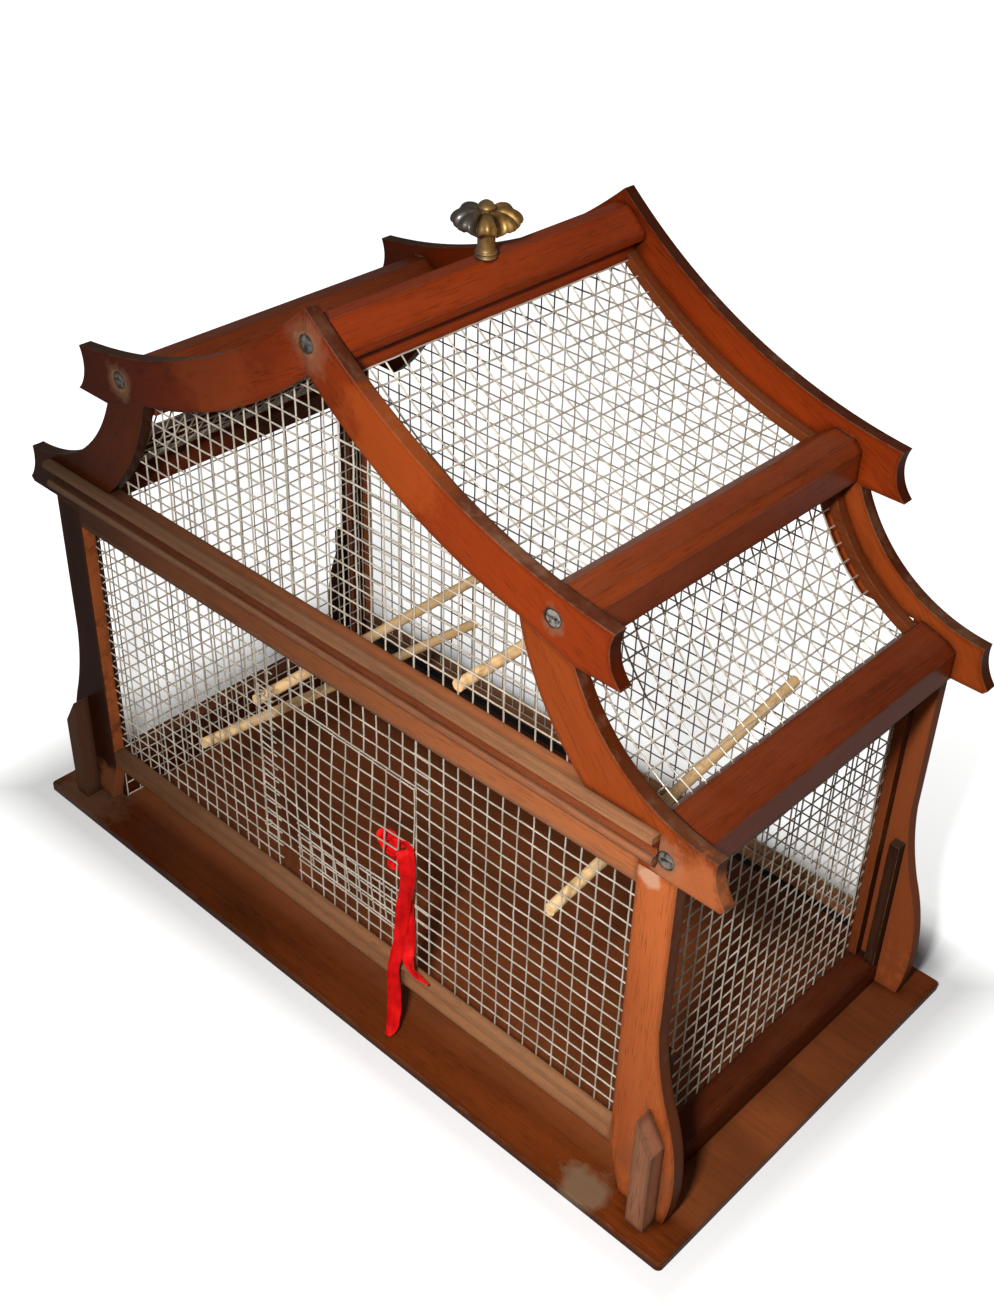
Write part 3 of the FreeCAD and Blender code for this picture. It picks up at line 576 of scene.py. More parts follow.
def addScrewHoles(wood, rough):
    holes = screwHoles
    ragged = wood.speckle(holes["raggedScale"], 4) - 0.5
    apart = wood.axis("X").absolute()
    height = wood.axis("Z")
    for x, z in holes["places"]:
        away = ((apart - x) ** 2.0 + (height - z) ** 2.0) ** 0.5
        tornEdge = holes["tornRadius"] * holes["tornInside"]
        torn = 1 - wood.between(away + ragged * holes["tornRagged"], tornEdge, holes["tornRadius"])
        # grime and the painted shade of the countersink close to the head
        grimeAndShadeEdge = holes["grimeAndShadeRadius"] * holes["grimeAndShadeInside"]
        grimeAndShade = 1 - wood.between(away - ragged * holes["grimeAndShadeRagged"], grimeAndShadeEdge, holes["grimeAndShadeRadius"])
        wood.coat(torn * holes["tornStrength"], holes["tornColour"])
        wood.coat(grimeAndShade * holes["grimeAndShadeStrength"], holes["grimeAndShadeColour"])
        rough = rough + torn * holes["tornRoughness"]
    return rough


def woodMaterial(name, tones, turn, seed):
    wood = Wood(name, tones, turn, seed)
    shaped = name.startswith(sawnParts)
    addBands(wood, woodBands.get(name, []))
    for pattern, effectSet in ((wood.pores, woodWearAndShade["pores"]), (wood.stains, woodWearAndShade["stains"])):
        mask = wood.between(pattern, *effectSet["range"]) * effectSet["strength"]
        wood.coat(mask, scaled(tones["dark"], effectSet["shade"]))
    if shaped:
        addSawnEdges(wood, tones)
    rounded, arris = addGrimeAndShade(wood, tones)
    if name == "wood-base":
        addInnerFloorLift(wood)
    if name == "wood-post":
        addInnerPostLight(wood)
    settled = addDust(wood, tones)
    addMarks(wood, woodMarks.get(name, []))
    parts = woodWearAndShade["roughness"]
    rough = tones["gloss"] + settled * parts["dust"] + arris * parts["arris"]
    rough = rough + wood.scuffs * parts["scuffs"]
    if shaped:
        rough = addScrewHoles(wood, rough)
    parts = woodWearAndShade["bump"]
    relief = wood.fibres * parts["fibres"] + wood.pores * parts["pores"] + wood.scuffs * parts["scuffs"]
    wood.set(
        Base_Color=wood.colour,
        Roughness=rough.clamp(),
        Coat_Weight=woodWearAndShade["coat"]["weight"],
        Coat_Roughness=woodWearAndShade["coat"]["roughness"],
        Specular_IOR_Level=tones["shine"],
        Specular_Tint=woodWearAndShade["shineTint"],
        Normal=wood.bump(relief, parts["strength"], parts["depth"], rounded),
    )
    return wood.material


# which boards share a material: tones, the turn of the grain, and the boards' nodes
alongX = (0, 0, 0)
alongY = (0, 0, 90)
alongZ = (0, 90, 0)
gables = ("front_", "rear_")
sides = ("right", "left")
sawnParts = ("wood-post", "wood-lowerRafter", "wood-upperRafter")
woodPlan = {
    "base": ("base", alongX, ["base_board"]),
    "post": ("post", alongZ, [gable + "post_" + side for gable in gables for side in sides]),
    "crossRail": ("frontRail", alongX, ["front_mid_rail"]),
    "footRail": ("bottomRail", alongX, ["front_bottom_rail", "rear_bottom_rail"]),
    "moulding": ("frontRail", alongX, ["front_moulding"]),
    "lowerRafterRight": ("lowerRafter", (0, -52, 0), [gable + "lower_rafter_right" for gable in gables]),
    "lowerRafterLeft": ("lowerRafter", (0, 52, 0), [gable + "lower_rafter_left" for gable in gables]),
    "upperRafterRight": ("upperRafter", (0, -28, 0), [gable + "upper_rafter_right" for gable in gables]),
    "upperRafterLeft": ("upperRafter", (0, 28, 0), [gable + "upper_rafter_left" for gable in gables]),
    "ridge": ("ridge", alongY, ["ridge_beam"]),
    "upperEave": ("upperEave", alongY, ["upper_eave_rail_left", "upper_eave_rail_right"]),
    "lowerEave": ("lowerEave", alongY, ["lower_eave_rail_left", "lower_eave_rail_right"]),
    "sideRail": ("sideRail", alongY, ["side_bottom_rail_left", "side_bottom_rail_right"]),
    "rafterBead": ("bead", alongX, ["front_rafter_beads", "rear_rafter_beads"]),
    "postBead": ("bead", alongZ, ["front_post_beads", "rear_post_beads"]),
    "lath": ("lath", alongZ, ["front_guide_laths", "rear_guide_laths"]),
    "bracket": ("bracket", alongZ, ["foot_bracket_left", "foot_bracket_right"]),
}
seedStep = 1.7


def paint(nodeName, material):
    node = cadNodes[nodeName]
    node.data.materials.clear()
    node.data.materials.append(material)


for order, (partName, (toneName, grainTurn, nodeNames)) in enumerate(woodPlan.items()):
    material = woodMaterial("wood-" + partName, woodTones[toneName], grainTurn, order * seedStep)
    for nodeName in nodeNames:
        paint(nodeName, material)
print("wood painted")

# the small materials: tones from dark to light, and the range of the noise that mixes them
perchSet = {
    "dark": (0.86, 0.50, 0.21), "light": (0.98, 0.71, 0.38), "range": (0.35, 0.7),
    "streakScale": (10, 500, 500), "markScale": 120, "markRange": (0.55, 0.75), "markStrength": 0.5,
    "mark": (0.22, 0.12, 0.06), "roughness": 0.6, "bump": (0.4, 0.0005),
}


def perchMaterial(settings):
    wood = Shader("perch")
    streaks = wood.noise(wood.place(alongY, settings["streakScale"]), detail=4, roughness=0.7)
    marks = wood.speckle(settings["markScale"], 3)
    colour = wood.mix(wood.between(streaks, *settings["range"]), settings["dark"], settings["light"])
    marked = wood.between(marks, *settings["markRange"]) * settings["markStrength"]
    wood.set(
        Base_Color=wood.mix(marked, colour, settings["mark"]),
        Roughness=settings["roughness"],
        Normal=wood.bump(streaks + marks, *settings["bump"]),
    )
    return wood.material


wireSet = {
    "dark": (0.47, 0.405, 0.32), "light": (0.78, 0.70, 0.585), "range": (0.4, 0.7), "stainScale": 45,
    "pitScale": 700, "pitRange": (0.58, 0.75), "pitStrength": 0.6, "pit": (0.28, 0.21, 0.14),
    "metal": 0.2, "roughness": 0.3, "pitRoughness": 0.3, "bump": (0.3, 0.0003),
}


def wireMaterial(settings):
    wire = Shader("galvanised")
    stains = wire.speckle(settings["stainScale"], 4, 0.7)
    pits = wire.speckle(settings["pitScale"], 2)
    colour = wire.mix(wire.between(stains, *settings["range"]), settings["dark"], settings["light"])
    pitted = wire.between(pits, *settings["pitRange"]) * settings["pitStrength"]
    wire.set(
        Base_Color=wire.mix(pitted, colour, settings["pit"]),
        Metallic=settings["metal"],
        Roughness=(settings["roughness"] + pits * settings["pitRoughness"]).clamp(),
        Normal=wire.bump(pits, *settings["bump"]),
    )
    return wire.material


# old brass with bright rubbed arrises and dark grooves, painted black as shade towards its left and front
brassSet = {
    "dark": (0.19, 0.085, 0.022), "light": (0.62, 0.36, 0.11), "range": (0.35, 0.65), "patinaScale": 55,
    "away": (0.75, 0.66), "ragged": 0.03, "blackRange": (0.010, 0.022), "blackStrength": 0.95,
    "black": (0.028, 0.026, 0.025),
    "arrisRadius": 0.0012, "rubbedRange": (0.01, 0.15), "rubbedStrength": 0.5,
    "rubbed": (0.90, 0.66, 0.30),
    "grooveReach": 0.005, "grooveRange": (0.15, 0.5), "grooveStrength": 0.85,
    "groove": (0.035, 0.022, 0.012),
    "metal": 0.85, "blackMetal": 0.5, "roughness": 0.34, "patinaRoughness": 0.3,
    "coat": 0.5, "coatRoughness": 0.2, "bump": (0.15, 0.0004),
}


def brassMaterial(settings):
    brass = Shader("old-brass")
    patina = brass.speckle(settings["patinaScale"], 5, 0.65)
    awayX, awayY = settings["away"]
    # painted shade: the knob goes black towards its left and front
    away = patina * settings["ragged"] - brass.axis("X") * awayX - brass.axis("Y") * awayY
    black = brass.between(away, *settings["blackRange"])
    rounded = brass.rounded(settings["arrisRadius"])
    rubbed = brass.between(brass.parted(rounded, brass.trueNormal()), *settings["rubbedRange"])
    groove = brass.between(brass.hidden(settings["grooveReach"]), *settings["grooveRange"])
    colour = brass.mix(brass.between(patina, *settings["range"]), settings["dark"], settings["light"])
    for mask, kind in ((rubbed, "rubbed"), (black, "black"), (groove, "groove")):
        colour = brass.mix(mask * settings[kind + "Strength"], colour, settings[kind])
    brass.set(
        Base_Color=colour,
        Metallic=settings["metal"] - black * settings["blackMetal"],
        Roughness=(settings["roughness"] + patina * settings["patinaRoughness"]).clamp(),
        Coat_Weight=black * settings["coat"],
        Coat_Roughness=settings["coatRoughness"],
        Normal=brass.bump(patina, *settings["bump"], rounded),
    )
    return brass.material


# rusty screws, with a painted highlight on those towards the right
steelSet = {
    "dark": (0.045, 0.034, 0.027), "light": (0.19, 0.17, 0.15), "range": (0.42, 0.62), "rustScale": 260,
    "brightFrom": (0.05, 0.19), "brightTo": (0.24, 0.28), "brightLoss": 0.5, "highlightRange": (0.34, 0.50),
    "brightStrength": 0.8, "bright": (0.50, 0.46, 0.42),
    "metal": 0.5, "roughness": 0.45, "bump": (0.5, 0.0005),
}


def screwMaterial(settings):
    steel = Shader("screw-steel")
    rust = steel.speckle(settings["rustScale"], 4)
    across = steel.axis("X")
    # a painted highlight on the screws towards the right
    lost = steel.between(across, *settings["brightTo"]) * settings["brightLoss"]
    shine = steel.between(across, *settings["brightFrom"]) - lost
    shine = shine * steel.between(rust, *settings["highlightRange"]) * settings["brightStrength"]
    colour = steel.mix(steel.between(rust, *settings["range"]), settings["dark"], settings["light"])
    steel.set(
        Base_Color=steel.mix(shine, colour, settings["bright"]),
        Metallic=settings["metal"],
        Roughness=settings["roughness"],
        Normal=steel.bump(rust, *settings["bump"]),
    )
    return steel.material


clothSet = {
    "dark": (0.50, 0.001, 0.002), "light": (0.90, 0.008, 0.008), "range": (0.3, 0.7),
    "foldScale": (90, 90, 60), "weaveScale": 420.0, "weaveWander": 0.4, "weaveShare": 0.3,
    "roughness": 0.6, "shine": 0.12, "bump": (0.35, 0.0006),
}


def ribbonMaterial(settings):
    cloth = Shader("red-ribbon")
    weave = cloth.add(
        "ShaderNodeTexWave", {"wave_type": "BANDS", "bands_direction": "Z"},
        Vector=cloth.place(), Scale=settings["weaveScale"], Distortion=settings["weaveWander"],
    )
    folds = cloth.noise(cloth.place(scale=settings["foldScale"]), detail=3)
    cloth.set(
        Base_Color=cloth.mix(cloth.between(folds, *settings["range"]), settings["dark"], settings["light"]),
        Roughness=settings["roughness"],
        Specular_IOR_Level=settings["shine"],
        Normal=cloth.bump(weave * settings["weaveShare"] + folds, *settings["bump"]),
    )
    return cloth.material


perchWood = perchMaterial(perchSet)
galvanised = wireMaterial(wireSet)
oldBrass = brassMaterial(brassSet)
screwSteel = screwMaterial(steelSet)
redCloth = ribbonMaterial(clothSet)
for nodeName in ("perch_far_left", "perch_left", "perch_right", "perch_upper"):
    paint(nodeName, perchWood)
paint("gable_screws", screwSteel)
paint("door_rings", galvanised)
print("small materials made")

# netting: welded wires half an inch apart, a little bent and unevenly set
netSet = {
    "pitch": 0.0127,
    "wire": 0.00062,
    "layerApart": 0.8,
    "waviness": 0.0006,
    "waveScale": 23,
    "drift": 0.00030,
    "driftScale": 170,
    "driftShift": (3, 1, 7),
    "tolerance": 0.00001,
    "seed": 5,
}
noise.seed_set(netSet["seed"])  # so that every run bends the wires the same way


def layWires(name, width, height, alongWidth):
    # one set of parallel wires in the XZ plane, from (0, 0) to (width, height), with points twice a pitch
    columns = max(1, round(width / netSet["pitch"]))
    rows = max(1, round(height / netSet["pitch"]))
    counts = (2 * columns, rows) if alongWidth else (columns, 2 * rows)
    bpy.ops.mesh.primitive_grid_add(x_subdivisions=counts[0], y_subdivisions=counts[1], size=1)
    wires = bpy.context.object
    wires.name = name
    wires.scale = (width, height, 1)
    wires.rotation_euler = (math.radians(90), 0, 0)
    wires.location = (width / 2, 0, height / 2)
    applyPlace(wires)
    editStart(wires, "FACE")
    edit(bpy.ops.mesh.select_all, action="SELECT")
    edit(bpy.ops.mesh.delete, type="ONLY_FACE")
    editStart(wires, "EDGE")
    across = 2 if alongWidth else 0
    pickEdges(wires, lambda start, end: abs(end[across] - start[across]) > netSet["tolerance"])
    edit(bpy.ops.mesh.delete, type="EDGE_FACE")
    return wires


def shapeNet(wires, keep, bend, layer):
    # drops the points that keep refuses, then bends the wires to their place
    editStart(wires, "VERT")
    pickPoints(wires, lambda point: not keep(point))
    edit(bpy.ops.mesh.delete, type="VERT")
    for point in wires.data.vertices:
        wave = noise.noise_vector(point.co * netSet["waveScale"])
        jolt = noise.noise_vector(point.co * netSet["driftScale"] + Vector(netSet["driftShift"]))
        moved = point.co + Vector((jolt.x, 0, jolt.z)) * netSet["drift"]
        moved.y += layer * netSet["wire"] * netSet["layerApart"] + wave.y * netSet["waviness"]
        point.co = bend(moved)
    return wires


def thicken(wires):
    selectOnly(wires)
    bpy.ops.object.convert(target="CURVE")
    curve = bpy.context.object
    curve.data.bevel_depth = netSet["wire"]
    curve.data.bevel_resolution = 1
    curve.data.use_fill_caps = True
    bpy.ops.object.convert(target="MESH")
    return bpy.context.object


def makeNet(name, width, height, keep, bend):
    upright = thicken(shapeNet(layWires(name, width, height, False), keep, bend, 1))
    level = thicken(shapeNet(layWires(name + "-level", width, height, True), keep, bend, -1))
    return joinAll([upright, level], name)


def addNet(nodeName, body="cage", keep=lambda point: True, bend=None, size=None):
    low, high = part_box(nodeName)
    middle = (low + high) / 2
    width, height = size or (high.x - low.x, high.z - low.z)
    if bend is None:
        def bend(point):
            return Vector((low.x + point.x, middle.y + point.y, low.z + point.z))
    net = makeNet(nodeName.replace("_", "-") + "-wires", width, height, keep, bend)
    smooth(net)
    finishPiece(net, body, "galvanised_wire", galvanised, nodeName)


# the roof line that the nets of the gables follow
roofLine = {
    "crown": (0, 0.504),
    "waist": (0.1714, 0.4192),
    "foot": (0.2268, 0.3284),
    "upperSag": 0.012,
    "lowerSag": 0.008,
    "upperOverlap": 0.0045,
    "lowerOverlap": 0.0018,
    "shoulder": 0.327,
}


def circleOf(start, end, sag):
    # centre and radius of an arc that sags below the line from start to end
    way = Vector(end) - Vector(start)
    radius = (way.length ** 2 / 4 + sag ** 2) / (2 * sag)
    outward = Vector((-way.y, way.x)).normalized()
    if outward.y < 0:
        outward = -outward
    return (Vector(start) + Vector(end)) / 2 + outward * (radius - sag), radius


upperCircle = circleOf(roofLine["crown"], roofLine["waist"], roofLine["upperSag"])
lowerCircle = circleOf(roofLine["waist"], roofLine["foot"], roofLine["lowerSag"])


def underRoof(x, z):
    # true where a gable's upper opening, and a strip round it, is
    if z < roofLine["shoulder"]:
        return True
    high = z > roofLine["waist"][1]
    centre, radius = upperCircle if high else lowerCircle
    overlap = roofLine["upperOverlap" if high else "lowerOverlap"]
    return (Vector((abs(x), z)) - centre).length > radius - overlap


for nodeName in ("front_net_over_door", "front_net_under_door"):
    addNet(nodeName)
# the side nets of the doorway are cut where the flap's edges fall
doorway = {"left": -0.0595, "right": 0.0773}
low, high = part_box("front_net_left")
addNet("front_net_left", keep=lambda point: low.x + point.x < doorway["left"])
low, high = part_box("front_net_right")
middle = (low + high) / 2
addNet(
    "front_net_right", size=(high.x - doorway["right"], high.z - low.z),
    bend=lambda point: Vector((doorway["right"] + point.x, middle.y + point.y, low.z + point.z)),
)
for nodeName in ("front_net_upper", "rear_net"):
    low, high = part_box(nodeName)
    addNet(nodeName, keep=lambda point: underRoof(point.x + low.x, point.z + low.z))
for nodeName in ("side_net_left", "side_net_right"):
    low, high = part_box(nodeName)
    middle = (low + high) / 2
    addNet(
        nodeName, size=(high.y - low.y, high.z - low.z),
        bend=lambda point: Vector((middle.x + point.y, low.y + point.x, low.z + point.z)),
    )

# the roof nets, each on the arc of its pair of rafters
roofNets = {
    "roof_net_upper": {"start": (0.0135, 0.5011), "end": (0.1714, 0.4215), "sag": 0.0113},
    "roof_net_lower": {"start": (0.1877, 0.4082), "end": (0.2671, 0.3186), "sag": 0.0123},
}


def addRoofNet(nodeName, shape, mirror):
    low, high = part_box(nodeName)
    centre, radius = circleOf(shape["start"], shape["end"], shape["sag"])
    first, last = (
        math.atan2(place[1] - centre.y, place[0] - centre.x) for place in (shape["start"], shape["end"])
    )

    def bend(point):
        angle = first + point.z / radius
        reach = radius + point.y
        across = centre.x + reach * math.cos(angle)
        return Vector((mirror * across, low.y + point.x, centre.y + reach * math.sin(angle)))

    addNet(nodeName, size=(high.y - low.y, radius * (last - first)), bend=bend)


for nodeStem, shape in roofNets.items():
    addRoofNet(nodeStem + "_right", shape, 1)
    addRoofNet(nodeStem + "_left", shape, -1)
print("netting laid")

# the flap: pushed out in the middle, with its free edge swayed and sagging a little
flapSet = {"bulge": 0.0040, "sway": 0.0026, "swayTurns": 1.6, "swayStart": 0.4, "sag": 0.0014}
flapLow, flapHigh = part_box("door_flap")


def bendFlap(point):
    across = point.x / (flapHigh.x - flapLow.x)
    up = point.z / (flapHigh.z - flapLow.z)
    belly = math.sin(math.pi * min(1, across)) * math.sin(math.pi * up)
    sway = across * math.sin(math.pi * up * flapSet["swayTurns"] + flapSet["swayStart"])
    return Vector((
        flapLow.x + point.x - flapSet["sway"] * sway,
        (flapLow.y + flapHigh.y) / 2 + point.y - flapSet["bulge"] * belly,
        flapLow.z + point.z - flapSet["sag"] * across,
    ))


addNet("door_flap", "door", bend=bendFlap)

# the ribbon that ties the flap: a folded tape that goes through the mesh and hangs over the rail
# each strand is drawn through (x, y, z, width) in millimetres
ribbonSet = {
    "thickness": 0.0006,
    "flat": (0.0105, 0.410),
    "cutsPerPoint": 9,
    "cutsAcross": 8,
    "twist": 0.7,
    "twistPace": 7,
    "unevenWidth": 0.10,
    "widthPace": 22,
    "crease": 0.17,
    "ripple": 0.045,
    "rippleCount": 3,
    "rippleDrift": 5,
    "wrinkle": 0.07,
    "wrinklePace": (30, 2.4),
    "lookAhead": 0.01,
    "strand": [
        (60, -132.5, 168, 8), (66, -134, 173, 7.5), (70, -138, 176, 9), (73.5, -142.4, 177.5, 11.5),
        (77.5, -145, 171, 12.5), (78.5, -144.8, 158, 12.5), (76, -144.2, 139, 12), (73, -144, 122, 11),
        (71.6, -144.4, 106, 10), (71.8, -147, 91, 8.8), (72.1, -150.6, 79, 8.2), (71.4, -152.4, 69, 8.5),
        (71.6, -152.8, 56, 9.5), (73.2, -153.4, 41, 10), (74.1, -155, 26, 10.2), (75.2, -158.6, 13.5, 8.5),
        (75.2, -163, 9.2, 3.5),
    ],
    "secondStrand": [
        (64, -132.6, 160, 6), (70, -134.2, 163, 5.5), (72.6, -138, 160, 6), (74.5, -141.2, 152, 7),
        (75, -141.4, 131, 7.5), (77.3, -141.8, 109, 7.5), (78.8, -143.6, 95, 8), (82.5, -148.8, 83.5, 8.5),
        (87.4, -149.8, 75.6, 7), (96, -149.6, 73.8, 3.5), (103, -149.2, 72.6, 1.6),
    ],
    "upperLoop": [
        (59.5, -133.4, 159.5, 6), (52.5, -132.4, 155.5, 8), (44.5, -131.4, 156.1, 8.5),
        (38, -130.8, 160.5, 7.5), (41.5, -132.6, 166, 7.5), (49.5, -133.8, 169.5, 8),
        (56.5, -133.9, 169.5, 6.5), (60.5, -133.4, 163.5, 5),
    ],
    "lowerLoop": [
        (60.5, -133.3, 157.5, 5.5), (54.5, -132.6, 149.5, 7), (49, -131.6, 141.5, 6.5),
        (52, -131, 139.1, 5.5), (57, -132, 144.5, 6), (62, -133.2, 154.5, 5),
    ],
}


def routeAt(route, share):
    # a point on the smooth curve through a route
    reach = share * (len(route) - 1)
    index = min(int(reach), len(route) - 2)
    part = reach - index
    before, start, end, after = (
        Vector(route[min(max(index + step, 0), len(route) - 1)]) for step in (-1, 0, 1, 2)
    )
    return (
        start * 2 + (end - before) * part + (before * 2 - start * 5 + end * 4 - after) * part ** 2
        + (start * 3 - before - end * 3 + after) * part ** 3
    ) / 2


def layTape(name, route, facing, seed):
    # a plane pulled along a route, creased lengthwise, and given its thickness
    cuts = len(route) * ribbonSet["cutsPerPoint"]
    bpy.ops.mesh.primitive_grid_add(x_subdivisions=cuts, y_subdivisions=ribbonSet["cutsAcross"], size=1)
    tape = bpy.context.object
    tape.name = name
    for point in tape.data.vertices:
        share = point.co.x + 0.5
        across = point.co.y
        here = routeAt(route, share)
        ahead = routeAt(route, min(share + ribbonSet["lookAhead"], 1))
        behind = routeAt(route, max(share - ribbonSet["lookAhead"], 0))
        way = (ahead - behind).to_3d().normalized()
        side = way.cross(Vector(facing)).normalized()
        twist = noise.noise(Vector((share * ribbonSet["twistPace"], seed, 0))) * ribbonSet["twist"]
        side = Matrix.Rotation(twist, 3, way) @ side
        outward = side.cross(way)
        uneven = noise.noise(Vector((share * ribbonSet["widthPace"], seed, 3)))
        width = here[3] * (1 + ribbonSet["unevenWidth"] * uneven)
        crease = math.cos(across * math.pi) * ribbonSet["crease"]
        ripple = math.cos(across * ribbonSet["rippleCount"] * math.pi + ribbonSet["rippleDrift"] * share)
        alongPace, acrossPace = ribbonSet["wrinklePace"]
        wrinkle = noise.noise(Vector((share * alongPace, across * acrossPace, seed)))
        lift = crease + ripple * ribbonSet["ripple"] + wrinkle * ribbonSet["wrinkle"]
        point.co = (here.to_3d() + side * across * width - outward * lift * width) / 1000
    applyModifier(tape, "SOLIDIFY", thickness=ribbonSet["thickness"], offset=0)
    return tape


tapes = [
    layTape("tape-strand", ribbonSet["strand"], (0.45, -1, 0.15), 1),
    layTape("tape-second", ribbonSet["secondStrand"], (0.45, -1, 0.15), 4),
    layTape("tape-upper", ribbonSet["upperLoop"], (0.1, -0.5, 0.9), 7),
    layTape("tape-lower", ribbonSet["lowerLoop"], (0.5, -0.6, 0.3), 9),
]
ribbon = joinAll(tapes, "door-ribbon-tape")
smooth(ribbon)
finishPiece(ribbon, "door", "ribbon", redCloth, "door_ribbon")
print("ribbon tied")

# the knob: a fluted, drooping head on a collared stem
# its section is drawn through (height, radius) in millimetres above the ridge
knobSet = {
    "sides": 192,
    "sectionPoints": 96,
    "rings": [
        (0.0, 6.5), (0.8, 7.1), (1.6, 6.9), (2.3, 6.2), (2.9, 6.5), (3.7, 7.2), (4.6, 6.9), (5.3, 6.0),
        (8.5, 5.7), (15.0, 5.8), (21.8, 6.4), (22.6, 11.0), (22.2, 16.0), (22.1, 19.6), (22.5, 21.0),
        (23.5, 21.9), (25.2, 22.1), (27.4, 21.3), (29.6, 19.2), (31.1, 16.2), (31.8, 12.8), (31.8, 9.8),
        (31.3, 7.4), (30.8, 6.0),
    ],
    "button": [(30.9, 5.3), (31.9, 5.6), (33.1, 5.2), (34.4, 3.9), (35.1, 2.0), (35.3, 0.5)],
    "headFrom": 21.85,
    "petals": 8,
    "petalFrom": 0.0068,
    "flatInside": 0.0055,
    "growOver": 0.012,
    "droopOver": 0.006,
    "groove": 0.22,
    "ribs": 0.022,
    "ribsPerPetal": 3,
    "droop": 0.0042,
    "sharpness": 1.5,
    "offCentre": 0.0024,
    "mergeDistance": 0.00001,
}


def spinKnob(settings, foot):
    # half a section drawn point by point, then spun round the stem
    drawn = settings["rings"] + settings["button"]
    count = settings["sectionPoints"]
    section = [(0, 0)] + [routeAt(drawn, index / count) for index in range(count + 1)]
    bpy.ops.mesh.primitive_plane_add(size=0.01, location=(0, 0, foot))
    knob = bpy.context.object
    knob.name = "ridge-knob"
    applyPlace(knob)
    editStart(knob, "VERT")
    edit(bpy.ops.mesh.select_all, action="SELECT")
    edit(bpy.ops.mesh.merge, type="CENTER")
    bpy.ops.object.mode_set(mode="EDIT")
    bpy.ops.mesh.select_all(action="SELECT")
    for (lowHeight, lowRadius), (height, radius) in zip(section, section[1:] + [(drawn[-1][0], 0)]):
        step = ((radius - lowRadius) / 1000, 0, (height - lowHeight) / 1000)
        bpy.ops.mesh.extrude_region_move(TRANSFORM_OT_translate={"value": step})
    bpy.ops.mesh.select_all(action="SELECT")
    bpy.ops.mesh.spin(steps=settings["sides"], angle=math.tau, center=(0, 0, foot), axis=(0, 0, 1))
    bpy.ops.mesh.select_all(action="SELECT")
    bpy.ops.mesh.remove_doubles(threshold=settings["mergeDistance"])
    bpy.ops.mesh.normals_make_consistent(inside=False)
    bpy.ops.object.mode_set(mode="OBJECT")
    return knob


def addKnob(settings):
    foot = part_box("ridge_beam")[1].z
    knob = spinKnob(settings, foot)
    headLow = foot + settings["headFrom"] / 1000
    for point in knob.data.vertices:
        radius = math.hypot(point.co.x, point.co.y)
        if point.co.z >= headLow and radius > settings["petalFrom"]:
            turn = math.atan2(point.co.y, point.co.x) * settings["petals"] / 2
            dip = (1 - abs(math.cos(turn))) ** settings["sharpness"]
            ribs = math.cos(2 * turn * settings["ribsPerPetal"]) * settings["ribs"]
            outside = radius - settings["flatInside"]
            factor = 1 - (settings["groove"] * dip - ribs) * min(1, outside / settings["growOver"])
            point.co.x *= factor
            point.co.y *= factor
            point.co.z -= settings["droop"] * dip * min(1, outside / settings["droopOver"])
        point.co.x += settings["offCentre"]
    smooth(knob)
    finishPiece(knob, "cage", "brass", oldBrass, "knob")


addKnob(knobSet)
print("knob turned")

# floor, backdrop and light; the paper glows where it is seen, but for the shadow at the cage's foot
stageSet = {
    "floorSize": 9.0,
    "floorHeight": -0.0002,
    "keyPlace": (0.50, -0.78, 1.0),
    "keyAim": (0.05, 0, 0.2),
    "keyPower": 14.5,
    "keySize": 0.11,
    "fillStrength": 0.15,
    "fillColour": (1, 0.985, 0.96, 1),
    "paperSeen": 0.95,
    "paperFelt": 0.25,
    "footHalf": (0.336, 0.171),
    "glowAtFoot": 0.03,
    "glowNear": 0.70,
    "glowFar": 1.0,
    "nearRange": (0.012, 0.075),
    "farRange": (0.075, 0.45),
    "mirrored": 0.2,
    # the deep shade just behind the cage, seen under the rear rail
    "shadeFrom": (0.10, 0.16),
    "shadeTo": (0.190, 0.225),
    "shadeSides": (0.300, 0.334),
    "shadeStrength": 0.98,
}


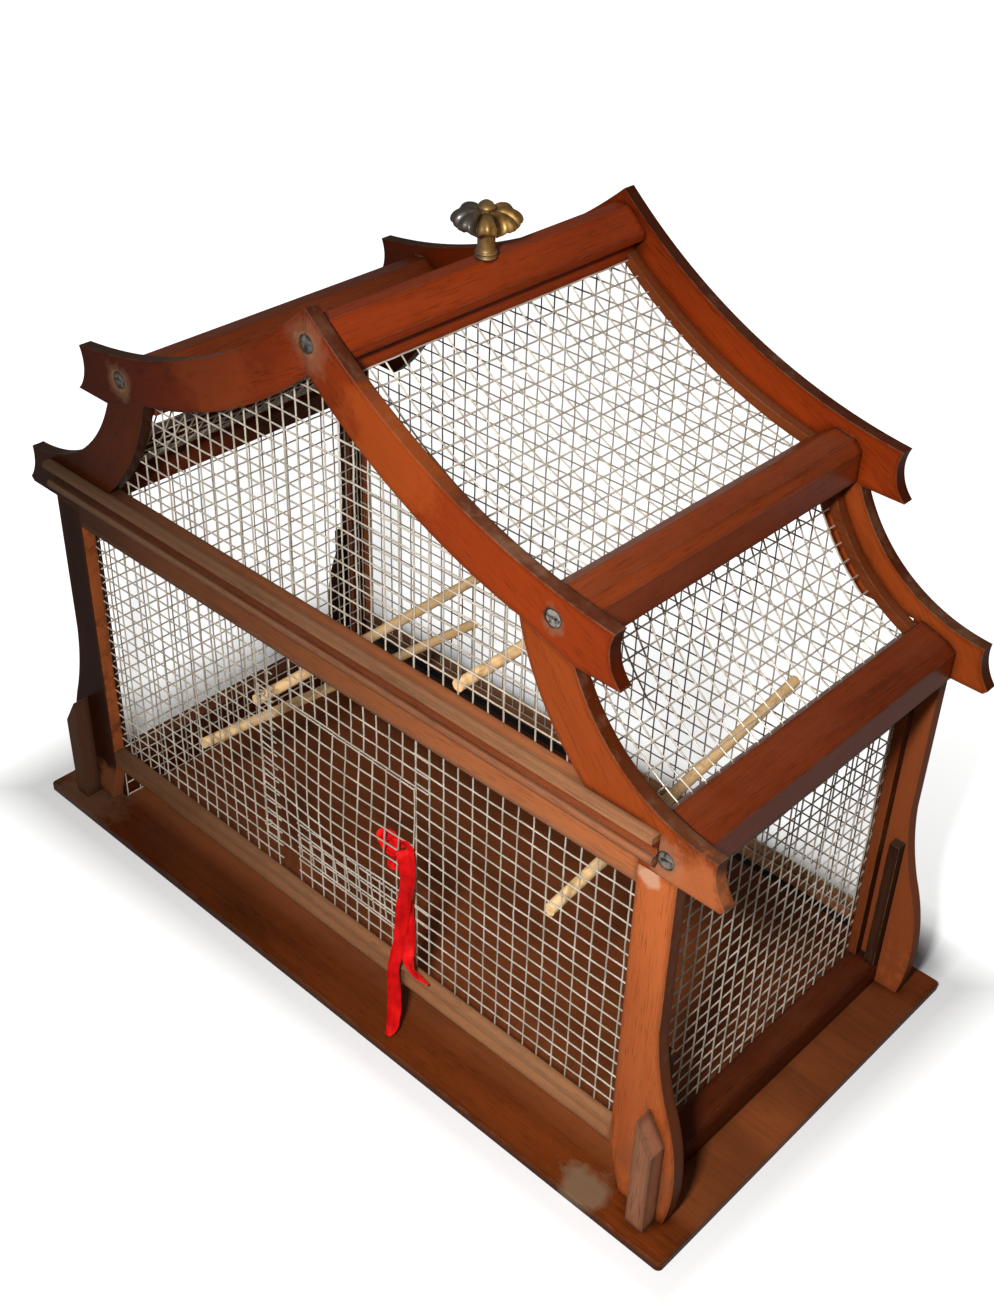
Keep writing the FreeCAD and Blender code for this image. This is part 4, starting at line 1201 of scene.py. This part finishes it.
def addFloor(settings):
    bpy.ops.mesh.primitive_plane_add(size=settings["floorSize"], location=(0, 0, settings["floorHeight"]))
    floor = bpy.context.object
    floor.name = "floor"
    paper = Shader("white-paper")
    seen = paper.add("ShaderNodeLightPath", None, output="Is Camera Ray")
    mirrored = paper.add("ShaderNodeLightPath", None, output="Is Glossy Ray")
    through = paper.add("ShaderNodeLightPath", None, output="Is Transmission Ray")
    across = paper.axis("X").absolute()
    deep = paper.axis("Y")
    halfX, halfY = settings["footHalf"]
    away = (across - halfX).maths("MAXIMUM", deep.absolute() - halfY)
    near = paper.between(away, *settings["nearRange"]) * (settings["glowNear"] - settings["glowAtFoot"])
    far = paper.between(away, *settings["farRange"]) * (settings["glowFar"] - settings["glowNear"])
    shade = paper.between(deep, *settings["shadeFrom"]) * (1 - paper.between(deep, *settings["shadeTo"]))
    shade = shade * (1 - paper.between(across, *settings["shadeSides"])) * settings["shadeStrength"]
    glow = (near + far + settings["glowAtFoot"]) * (1 - shade)
    shown = seen + mirrored * settings["mirrored"] + through
    black, white = (0, 0, 0), (1, 1, 1)
    seenColour = paper.mix(shade, scaled(white, settings["paperSeen"]), black)
    paper.set(
        Base_Color=paper.mix(seen, scaled(white, settings["paperFelt"]), seenColour),
        Roughness=0.9,
        Specular_IOR_Level=0.0,
        Emission_Color=paper.mix((shown * glow).clamp(), black, white),
        Emission_Strength=1.0,
    )
    floor.data.materials.append(paper.material)


def addLight(settings):
    # a small key light, a weak warm fill from all round, and a white backdrop for the camera
    world = bpy.data.worlds.new("studio")
    bpy.context.scene.world = world
    world.use_nodes = True
    tree = world.node_tree
    fill = tree.nodes["Background"]
    fill.inputs["Color"].default_value = settings["fillColour"]
    fill.inputs["Strength"].default_value = settings["fillStrength"]
    backdrop = tree.nodes.new("ShaderNodeBackground")
    backdrop.inputs["Color"].default_value = (1, 1, 1, 1)
    path = tree.nodes.new("ShaderNodeLightPath")
    blend = tree.nodes.new("ShaderNodeMixShader")
    tree.links.new(path.outputs["Is Camera Ray"], blend.inputs[0])
    tree.links.new(fill.outputs[0], blend.inputs[1])
    tree.links.new(backdrop.outputs[0], blend.inputs[2])
    tree.links.new(blend.outputs[0], tree.nodes["World Output"].inputs["Surface"])
    bpy.ops.object.light_add(type="AREA", location=settings["keyPlace"])
    key = bpy.context.object
    key.name = "key"
    key.data.size = settings["keySize"]
    key.data.energy = settings["keyPower"]
    aim = Vector(settings["keyAim"]) - key.location
    key.rotation_euler = aim.to_track_quat("-Z", "Y").to_euler()


addFloor(stageSet)
addLight(stageSet)
print("stage set")
